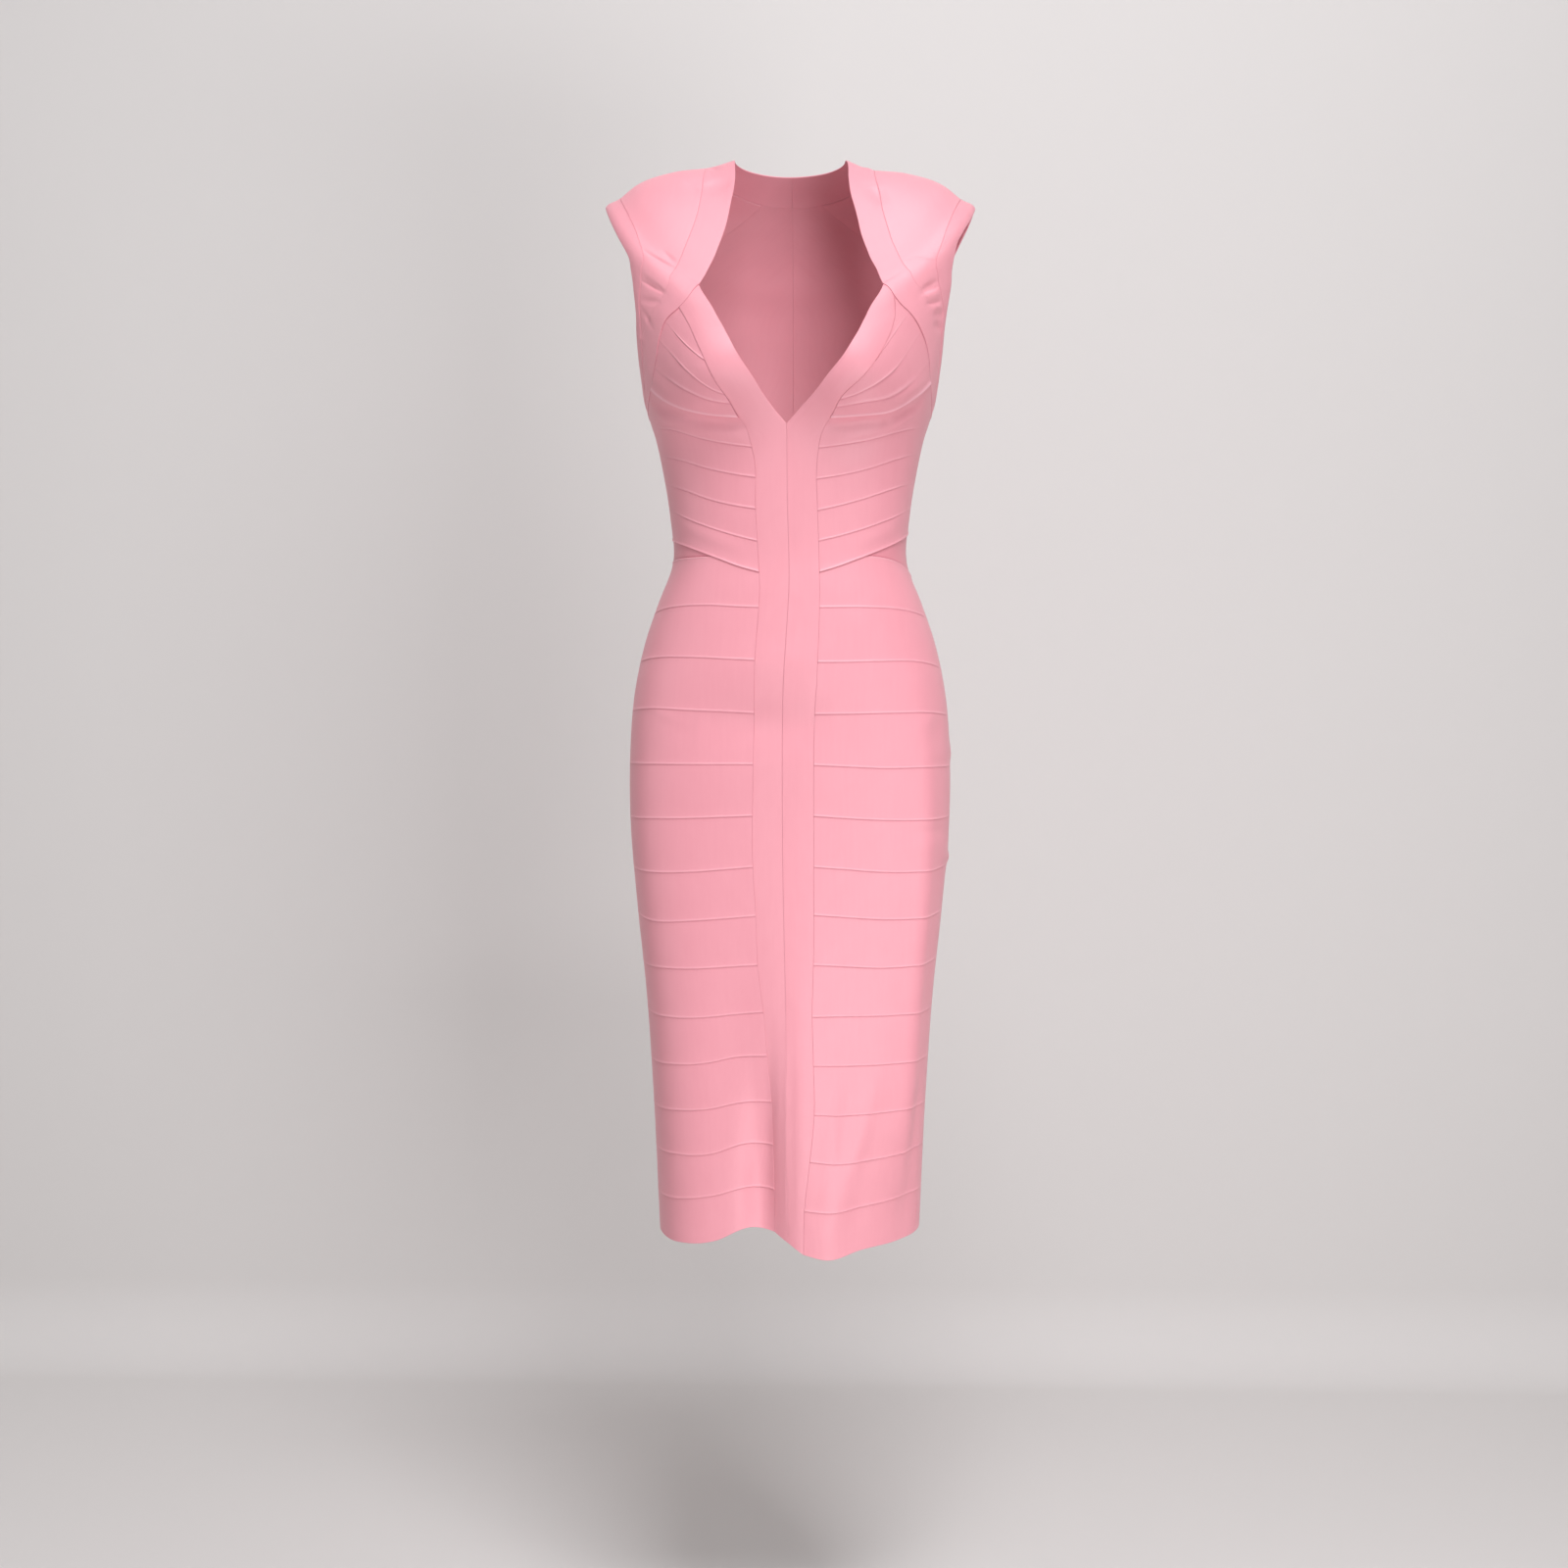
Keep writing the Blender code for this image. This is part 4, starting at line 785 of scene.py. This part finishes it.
# ------------------------------------------------------------------ front bodice
# The panel between cup and waist. Its bands slope down to the centre band, and its lower edge
# is a folded lip lying over the skirt and the gusset.
BODICE_KINDS = ("plain",) * 3 + ("ridge",) * 4
BODICE_ROWS = {
    "right": (
        (269.9, 268.5, 265.4, 258.2, 248.3, 239.2),
        (276.6, 274.7, 270.8, 262.7, 252.8, 244.1),
        (282.9, 280.6, 276.1, 266.6, 256.4, 248),
        (290.6, 287.9, 282.5, 270, 262.8, 258),
        (320, 317, 311.1, 299.1, 291.1, 286),
        (351, 348, 342, 329, 320, 315),
        (383, 378.5, 371, 358, 346.5, 338),
    ),
    "left": (
        (270.8, 269.4, 266.9, 259.7, 247.2, 236.2),
        (277.6, 276.2, 272.7, 263.6, 252.8, 242.1),
        (283.9, 282, 278.1, 267.9, 257.7, 248),
        (291.8, 289.3, 284.4, 272.8, 264.3, 259),
        (322, 319, 313.1, 300.1, 291.1, 286),
        (353, 349, 342, 329.5, 320.5, 315),
        (383, 379, 372, 359.5, 348.5, 341),
    ),
}
BODICE_COLUMNS = np.linspace(0, 1, 81)
BODICE_FLAT = (0.50, 0.74)          # shares of the width between which its seams press flat


def bodice_front(side):
    """Below the cup to the waist. Its side follows the cup seam to the underarm, then drops."""
    kinds = ("plain", *BODICE_KINDS, "edge")
    rows = (CUP_ROWS[side][-1], *BODICE_ROWS[side], WAIST_SEAM[side])
    levels, raised, painted_shading = front_panel(kinds, rows, BODICE_COLUMNS, BODICE_FLAT)
    # Painted shade along the centre band's edge
    painted_shading[:, 0] += BAND_SHADE
    underarm = CUP_SEAM[side][-1][0]
    on_cup_seam = edge_angle(CUP_SEAM[side], np.minimum(levels[:, -1], underarm))
    angles = between(edge_angle(BAND_EDGE[side], levels[:, 0]), on_cup_seam, BODICE_COLUMNS)
    return cut_cloth(f"front_bodice_{side}", side, angles, levels, raised, painted_shading, HEM_FOLD)


bodice_knit = knit("bodice_knit", PINK)
for side in SIDES:
    piece = bodice_front(side)
    sew_in(piece, bodice_knit, "bodice_front", side)


# ------------------------------------------------------------------ centre bands
# Two folded bands that meet in a seam up the centre front, part at the V neckline and run out
# to the straps. They stand a little above the panels, and their stitches run up and down.
BAND_PINK, BAND_STITCH = (0.84, 0.345, 0.405), 0.85     # finer stitches than the panels'
V_POINT, CENTRE_HEM = 268, 1078     # levels of the neckline's point and of the hem
CENTRE_SEAM = (                     # level, angle towards the wearer's left
    (V_POINT, 0.0), (333, 0.1), (429.9, 0.8), (478.9, -0.2), (526.9, -1), (624, -1.2),
    (721.1, -1), (817.2, -0.4), (875, 0), (942, 0), (994.4, 0), (1035.5, 0.3),
    (1093.1, 1.1),
)
V_NECKLINE = {                      # level, angle
    "right": (
        (122.3, 26), (137.8, 21), (160, 18), (177.4, 16.4), (199.9, 14.6), (223.9, 10.7),
        (244.7, 7), (255.9, 4), (V_POINT, 0),
    ),
    "left": (
        (128, 28), (145.7, 23.5), (162.4, 22.1), (184.5, 20.4), (205.5, 18), (222.1, 14.1),
        (241.1, 9.4), (254, 5), (262.6, 2), (V_POINT, 0),
    ),
}
# Rows slant down from the V neckline: level at the outer edge, level at the inner edge
BAND_SLANT = {
    "right": ((163, 122.3), (190, 162), (215, 193), (240, 222), (262, 246), (275, 258),
              (287, V_POINT), (300, 284), (330, 324), (352, 351), (391, 391)),
    "left": ((150.3, 128), (180, 158), (208, 190), (235, 218), (262, 246), (275, 258),
             (288, V_POINT), (300, 284), (330, 324), (352, 351), (391, 391)),
}
BAND_STAND, BAND_CROWN = 0.28, 0.25         # height of a band's edge, and its swell in the middle
CUP_STAND, SKIRT_STAND = {"right": 0.7, "left": 0.0}, 0.1   # of the outer edge above each
CUP_ENDS = (230, 262)               # levels between which one stand goes over into the other
BAND_COLUMNS = np.array((0, 0.02, 0.05, 0.09, 0.15, 0.23, 0.32, 0.41, 0.5,
                         0.59, 0.68, 0.77, 0.85, 0.91, 0.95, 0.98, 1))
BAND_ROW_STEP = 3.0
CENTRE_SHADE = 0.5                  # painted shade down the centre seam
CENTRE_SHADE_GROWS, CENTRE_SHADE_FADES = (330, 430), (540, 760)     # levels where it comes and goes
END_BLEND = 14                      # how far below the strap the band's end has its own slant


def centre_band(side):
    """Hem to strap, its inner edge on the centre seam and then along the V neckline."""
    outer_knots, inner_knots = np.array(BAND_SLANT[side], float).T
    point = outer_knots[list(inner_knots).index(V_POINT)]
    hem = SKIRT_ROWS[side][-1][0]
    outer = np.concatenate([
        np.linspace(outer_knots[0], point, int((point - outer_knots[0]) / BAND_ROW_STEP)),
        np.linspace(point, hem, int((hem - point) / BAND_ROW_STEP))[1:]])
    inner = np.where(outer < outer_knots[-1], np.interp(outer, outer_knots, inner_knots), outer)
    inner += ease(outer, SKIRT_ROWS[side][-2][0], hem) * (CENTRE_HEM - hem)
    centre = edge_angle(CENTRE_SEAM, np.maximum(inner, V_POINT)) * SIDES[side]
    neckline = edge_angle(V_NECKLINE[side], np.minimum(inner, V_POINT))
    starts = np.where(inner < V_POINT, neckline, centre)
    angles = between(starts, edge_angle(BAND_EDGE[side], outer), BAND_COLUMNS)
    levels = between(inner, outer, BAND_COLUMNS)
    bend = edge_angle(CUP_SEAM[side], levels[0]) - angles[0]
    angles += bend * (1 - ease(outer, outer[0], outer[0] + END_BLEND))[:, None]
    on_cup = 1 - ease(outer, *CUP_ENDS)
    outer_stand = SKIRT_STAND + on_cup * (CUP_STAND[side] - SKIRT_STAND)
    raised = (BAND_CROWN * 4 * BAND_COLUMNS * (1 - BAND_COLUMNS)
              + between(np.full(len(outer), BAND_STAND), outer_stand, BAND_COLUMNS))
    painted_shading = 0 * raised
    # Painted shade down the centre seam, coming and going with the level
    painted_shading[:, 0] = (CENTRE_SHADE * ease(inner, *CENTRE_SHADE_GROWS)
                  * (1 - ease(inner, *CENTRE_SHADE_FADES)))
    return cut_cloth(f"front_band_{side}", side, angles, levels, raised, painted_shading,
                     (*HEM_FOLD, (inner < V_POINT, 0), (on_cup > 0, -1)))


band_knit = knit("band_knit", BAND_PINK, BAND_STITCH)
for side in SIDES:
    piece = centre_band(side)
    sew_in(piece, band_knit, "centre_band", side)


# ------------------------------------------------------------------ back bodice
# The back from neck band and yoke seam to the waist, closed by a centre-back seam. The front's
# seams carry on round it, and three more cross the shoulder blades.
ARMHOLE_BACK = (        # shoulder to underarm: angle and level of its edge and of its band's seam
    (90, 135, 90, 118), (104, 138, 108, 119), (116, 143, 123, 127), (123.5, 153, 131, 142),
    (126, 170, 133.5, 165), (123, 188, 130, 186), (116, 206, 121.5, 208),
    (107, 222, 110, 227.5), (98, 232, 99.5, 238.5), (90, 235.5, 90, 241.8),
)
YOKE_BACK_STATION = 4               # row of ARMHOLE_BACK where the back yoke seam ends
ARMHOLE_SAMPLES = 200
YOKE_SEAM_TOP = 158                 # angle at which that seam leaves the neck band
NECK_BAND_LEVEL = 30
BACK_SHOULDER_ROWS = (
    ("plain", NECK_BAND_LEVEL, NECK_BAND_LEVEL), ("ridge", 75, 73), ("ridge", 120, 116),
    ("plain", 165, 160), ("plain", 177, 172), ("plain", 192, 186), ("ridge", 210, 204),
    ("plain", 224, 220), ("plain", 232, 229), ("plain", 238, 236), ("plain", 241.8, 241),
)


def by_station(table, station):
    """All columns of a table at fractional row numbers, smoothly between its rows."""
    rows = np.array(table, float)
    return smooth_curve(np.arange(len(rows), dtype=float), rows, station)


def sampled(table, count, first=0):
    """All columns of a table at evenly spaced row numbers, from the first to the last."""
    return by_station(table, np.linspace(first, len(table) - 1, count))


def bodice_back(side):
    """Neck band to waist, from the yoke seam, armhole band and side seam to the centre back."""
    rows = list(BACK_SHOULDER_ROWS)
    rows += [(kind, *carried_back(side, *pair))
             for kind, *pair in zip(BODICE_KINDS, *BODICE_ROWS.values()) if kind == "ridge"]
    rows.append(("ridge", *carried_back(side, **WAIST_SEAM)))
    rows.append(("edge", *carried_back(side, **HIP_SEAM)))
    levels, raised, painted_shading = back_panel(rows)
    outer = levels[:, 0]
    armhole = sampled(ARMHOLE_BACK, ARMHOLE_SAMPLES, YOKE_BACK_STATION)
    seam_end = armhole[0, 3]
    share = (outer - NECK_BAND_LEVEL) / (seam_end - NECK_BAND_LEVEL)
    on_yoke = YOKE_SEAM_TOP + (armhole[0, 2] - YOKE_SEAM_TOP) * share
    starts = np.where(outer > seam_end, np.interp(outer, armhole[:, 3], armhole[:, 2]), on_yoke)
    angles = between(starts, np.full(len(starts), 180.0), BACK_COLUMNS)
    return cut_cloth(f"back_bodice_{side}", side, angles, levels, raised, painted_shading, HEM_FOLD)


for side in SIDES:
    piece = bodice_back(side)
    sew_in(piece, bodice_knit, "bodice_back", side)


# ------------------------------------------------------------------ neck bands
# One long folded band each side: from the underarm over the outer side of the cup, up beside the
# neck as a strap, over the shoulder and round the back of the neck.
EDGE_PINK = (0.87, 0.37, 0.435)
STRAP = {                           # level on the cup seam; angle and level of the outer edge
    "right": (
        (122.3, 34.6, 126.1), (143, 34.5, 143.7), (163, 37.8, 159.6), (185.5, 43.9, 178.6),
        (203.8, 51.3, 193.8), (222.2, 61, 208),
    ),
    "left": (
        (128, 36.6, 129), (150.3, 37.5, 145.4), (159.3, 39.2, 152.4), (176.8, 43.4, 166.1),
        (199.1, 53.7, 190), (219.5, 66, 205.5),
    ),
}
# From the neckline's corner at the strap to the shoulder: angle and level of the band's inner
# edge, and of its outer edge
NECK_BAND_FRONT = {
    "right": (
        (26, 122.3, 34.6, 126.1), (26.1, 102.4, 36, 105.1), (27.6, 79.2, 40, 79.7),
        (32.3, 51.1, 46, 60.7), (42.2, 28, 54.6, 47.2), (52.4, 12.9, 64.5, 39),
        (63.8, 5.1, 73.4, 33.4), (77, 1.2, 81.5, 31), (90, 0, 90, 30),
    ),
    "left": (
        (28, 128, 36.6, 129), (28.9, 109.2, 37.4, 110.8), (30, 88, 40.1, 88.5),
        (34.7, 59.7, 47.3, 64), (45.8, 31.8, 57.1, 48.3), (56.7, 16.7, 65.5, 38.7),
        (66.5, 9.5, 74, 33.5), (78.5, 3.5, 82, 31), (90, 0, 90, 30),
    ),
}
ARMHOLE_FRONT = {                   # from the underarm to the shoulder, columns as behind
    "right": (
        (90, 235.5, 90, 241.8), (82, 233, 80, 239), (76, 228.3, 73, 232.5),
        (70.3, 217.5, 67, 222.5), (64.5, 204.5, 61, 208), (58.5, 190.9, 56, 191.9),
        (54.8, 175.9, 50.3, 171.9), (53.3, 161.1, 46.8, 154.7), (53.4, 150.3, 45.3, 137),
        (61.1, 143.9, 52.6, 125), (70.2, 139.7, 62.7, 119.8), (80, 137, 77, 118.2),
        (90, 135, 90, 118),
    ),
    "left": (
        (90, 235.5, 90, 241.8), (84.5, 232, 83, 238), (79, 225, 77, 228.5),
        (74, 216, 71.5, 217), (69.3, 206.5, 66, 205.5), (64.3, 192, 60.5, 191),
        (60.8, 177, 54, 176.7), (58.2, 162.7, 49.5, 161), (58.6, 148.6, 46.9, 142.8),
        (63.1, 144.1, 54, 129.2), (72, 141.3, 64, 121.8), (80.5, 138.5, 77, 119),
        (90, 135, 90, 118),
    ),
}
YOKE_FRONT_STATION = 4              # row of ARMHOLE_FRONT where the yoke runs out to its point
STRAP_LIFT, STRAP_LIFTS = 0.7, (225, 195)   # how far its inner edge rises up the cup
STRAP_SHADE = 1.3                   # painted shade along that edge
STRAP_ROWS = (48, 80)               # rows of the grid below the armhole's front and beside the cup
NECK_ROWS = (110, 60, 20)           # up the front, behind the shoulder and round the back neck


def length_shares(angles, levels):
    """How far along a line on the form each of its points lies, from 0 to 1."""
    lengths = np.linalg.norm(np.diff(form(np.radians(angles), levels * MM), axis=0), axis=1)
    return np.concatenate([[0], np.cumsum(lengths)]) / lengths.sum()


def inner_line(table, first, last, shares):
    """Armhole rows at shares of the length of the armhole band's inner line between two rows."""
    stations = np.linspace(first, last, ARMHOLE_SAMPLES)
    rows = by_station(table, stations)
    return by_station(table, np.interp(shares, length_shares(rows[:, 2], rows[:, 3]), stations))


def neck_band(side):
    """Returns the piece, and its outer edge from the yoke's point to the back yoke seam."""
    tip_level, underarm = STRAP[side][-1][0], CUP_SEAM[side][-1][0]
    below = np.linspace(underarm, tip_level, STRAP_ROWS[0])
    beside = np.linspace(tip_level, STRAP[side][0][0], STRAP_ROWS[1])[1:]
    strap = np.array(STRAP[side], float)
    front = sampled(NECK_BAND_FRONT[side], NECK_ROWS[0])[1:]
    over_yoke = np.linspace(90, YOKE_SEAM_TOP, NECK_ROWS[1])[1:]
    back = np.concatenate([over_yoke, np.linspace(YOKE_SEAM_TOP, 180, NECK_ROWS[2])[1:]])
    shares = length_shares(edge_angle(CUP_SEAM[side], below), below)
    seam_levels = np.concatenate([below, beside])
    inner = np.concatenate([
        np.stack([edge_angle(CUP_SEAM[side], seam_levels), seam_levels], -1), front[:, :2],
        np.stack([back, 0 * back], -1)])
    outer = np.concatenate([
        inner_line(ARMHOLE_FRONT[side], 0, YOKE_FRONT_STATION, shares)[:, 2:],
        smooth_curve(strap[:, 0], strap[:, 1:], beside), front[:, 2:],
        np.stack([back, 0 * back + NECK_BAND_LEVEL], -1)])
    lift = ease(np.minimum(inner[:, 1], underarm), *STRAP_LIFTS)
    lift[len(seam_levels):] = 0
    raised = ((BAND_STAND + BAND_CROWN * 4 * BAND_COLUMNS + STRAP_LIFT * lift[:, None])
              * (1 - BAND_COLUMNS))
    painted_shading = np.zeros(raised.shape)
    # Painted shade along the strap's edge over the cup
    painted_shading[:len(seam_levels), 0] = STRAP_SHADE
    angles, levels = (between(inner[:, axis], outer[:, axis], BAND_COLUMNS) for axis in (0, 1))
    piece = cut_cloth(f"neck_edge_{side}", side, angles, levels, raised, painted_shading, (np.s_[:, 0],))
    return piece, outer[len(below) - 1: len(seam_levels) + len(front) + len(over_yoke)]


edge_knit = knit("edge_knit", EDGE_PINK, BAND_STITCH)
yoke_edges = {}
for side in SIDES:
    piece, yoke_edges[side] = neck_band(side)
    sew_in(piece, edge_knit, "neck_band", side)


# ------------------------------------------------------------------ shoulder yokes
# The cap of each shoulder, a stiffer doubled knit that stands out past the shoulder's tip. It
# runs from a point beside the cup over the shoulder to the seam on the back.
YOKE_PINK = (0.89, 0.38, 0.445)
YOKE_COLUMNS = np.linspace(0, 1, 61)
YOKE_POINT = 0.03                   # blunt end of the yoke, as a share of the armhole line


def shoulder_yoke(side):
    """Between the neck band's outer edge and the armhole band. Returns its armhole rows too."""
    near = yoke_edges[side]
    shoulder = np.abs(near[:, 0] - 90).argmin()
    front_shares = length_shares(*near[:shoulder + 1].T)
    back_shares = length_shares(*near[shoulder:].T)[1:]
    rows = np.concatenate([
        inner_line(ARMHOLE_FRONT[side], YOKE_FRONT_STATION, len(ARMHOLE_FRONT[side]) - 1,
                   YOKE_POINT + (1 - YOKE_POINT) * front_shares),
        inner_line(ARMHOLE_BACK, 0, YOKE_BACK_STATION, back_shares)])
    far = rows[:, 2:]
    angles, levels = (between(near[:, axis], far[:, axis], YOKE_COLUMNS) for axis in (0, 1))
    flat = np.zeros(levels.shape)
    return cut_cloth(f"shoulder_cap_{side}", side, angles, levels, flat, flat)


yoke_knit = knit("yoke_knit", YOKE_PINK)
for side in SIDES:
    piece = shoulder_yoke(side)
    sew_in(piece, yoke_knit, "shoulder_yoke", side)


# ------------------------------------------------------------------ armhole bands
# A narrow binding of the neck bands' knit, folded over the edge all round each armhole and
# joined at the side seam.
ARMHOLE_ROWS = (150, 110)           # rows of the grid in front and behind


def armhole_band(side):
    """From the underarm up the front, over the shoulder and down the back."""
    rows = np.concatenate([
        sampled(ARMHOLE_FRONT[side], ARMHOLE_ROWS[0]),
        sampled(ARMHOLE_BACK, ARMHOLE_ROWS[1])[1:]])
    angles, levels = (between(rows[:, 2 + axis], rows[:, axis], BAND_COLUMNS) for axis in (0, 1))
    raised = np.tile(BAND_STAND + BAND_CROWN * 4 * BAND_COLUMNS * (1 - BAND_COLUMNS),
                     (len(rows), 1))
    return cut_cloth(f"armhole_edge_{side}", side, angles, levels, raised, 0 * raised,
                     (np.s_[:, -1],))


for side in SIDES:
    piece = armhole_band(side)
    sew_in(piece, edge_knit, "armhole_band", side)


# ------------------------------------------------------------------ floor and wall
# One pale sheet: a floor below the wearer's feet that curves up into a wall behind. Its outer
# face is clear, so that it doesn't hide the back of the dress.
FLOOR_Z, WALL_Y, HALF_SPAN, FRONT_Y, WALL_TOP = -1.50, 0.95, 5.0, -4.5, 3.0
COVE, COVE_POINTS = 0.12, 13
MATT_PAINT = {"Base Color": (0.70, 0.68, 0.665, 1), "Roughness": 0.9}
turns = np.radians(np.linspace(0, 90, COVE_POINTS))
profile = np.concatenate([
    [(FRONT_Y, FLOOR_Z)],
    np.stack([WALL_Y - COVE + COVE * np.sin(turns), FLOOR_Z + COVE - COVE * np.cos(turns)], -1),
    [(WALL_Y, WALL_TOP)]])
sheet_points = np.array([(x, y, z) for y, z in profile for x in (-HALF_SPAN, HALF_SPAN)])
sheet_rows = np.arange(len(profile) - 1)[:, None] * 2 + np.array((0, 1, 3, 2))
sheet_mesh = bpy.data.meshes.new("backdrop")
sheet_mesh.from_pydata(sheet_points.tolist(), [], sheet_rows.tolist())
sheet_mesh.polygons.foreach_set("use_smooth", np.ones(len(sheet_rows), bool))
backdrop = bpy.data.objects.new("backdrop", sheet_mesh)
bpy.context.scene.collection.objects.link(backdrop)
paint = bpy.data.materials.new("backdrop_paint")
paint.use_nodes = True
matt = paint.node_tree.nodes["Principled BSDF"]
for socket, value in MATT_PAINT.items():
    matt.inputs[socket].default_value = value
tree = Wire(paint.node_tree)
outside = tree.node("ShaderNodeNewGeometry", output="Backfacing")
clear = tree.node("ShaderNodeBsdfTransparent")
coats = tree.node("ShaderNodeMixShader", None,
                  {0: outside, 1: Wire(paint.node_tree, matt.outputs[0]), 2: clear})
paint.node_tree.links.new(coats.socket, paint.node_tree.nodes["Material Output"].inputs["Surface"])
sheet_mesh.materials.append(paint)


# ------------------------------------------------------------------ camera
# Level with the hips and a little to the wearer's left, so that the whole length shows.
EYE_AWAY, EYE_ROUND, EYE_Z = 2.18, np.radians(2.0), -0.600
TURN_LEFT, TIP_DOWN = np.radians(0.16), np.radians(0.666)
SENSOR, FRAME_PIXELS, FOCAL_PIXELS = 36.0, 1600, 2150
lens = bpy.data.cameras.new("view")
lens.sensor_width = SENSOR
lens.lens = SENSOR * FOCAL_PIXELS / FRAME_PIXELS
lens.clip_end = 30
camera = bpy.data.objects.new("view", lens)
camera.location = (EYE_AWAY * np.sin(EYE_ROUND), -EYE_AWAY * np.cos(EYE_ROUND), EYE_Z)
camera.rotation_euler = Euler((np.radians(90) - TIP_DOWN, 0, EYE_ROUND + TURN_LEFT), "XYZ")
bpy.context.scene.collection.objects.link(camera)
bpy.context.scene.camera = camera


# ------------------------------------------------------------------ light
# A soft lamp high in front, a small one low on the wearer's left that lights the skirt, a weak
# one far out on the right, and pale room light.
LAMPS = (                           # name, place, size, watts, the point it is aimed at
    ("key", (0.40, -1.55, 2.25), 1.3, 88, (0, 0, -0.5)),
    ("low", (0.80, -1.60, -0.95), 0.7, 16.4, (0, 0, -0.85)),
    ("fill", (-2.96, -1.08, 0.06), 1.3, 15.6, (0, 0, -0.5)),
)
LAMP_COLOUR = (1.0, 0.99, 1.015)
ROOM_LIGHT = {"Color": (1.0, 0.99, 0.98, 1), "Strength": 0.18}
for name, place, size, watts, aim in LAMPS:
    lamp = bpy.data.lights.new(name, "AREA")
    lamp.size, lamp.energy, lamp.color = size, watts, LAMP_COLOUR
    holder = bpy.data.objects.new(name, lamp)
    holder.location = place
    holder.rotation_euler = (Vector(aim) - Vector(place)).to_track_quat("-Z", "Y").to_euler()
    bpy.context.scene.collection.objects.link(holder)
room = bpy.data.worlds.new("room")
room.use_nodes = True
for socket, value in ROOM_LIGHT.items():
    room.node_tree.nodes["Background"].inputs[socket].default_value = value
bpy.context.scene.world = room
bpy.context.scene.view_settings.view_transform = "Standard"
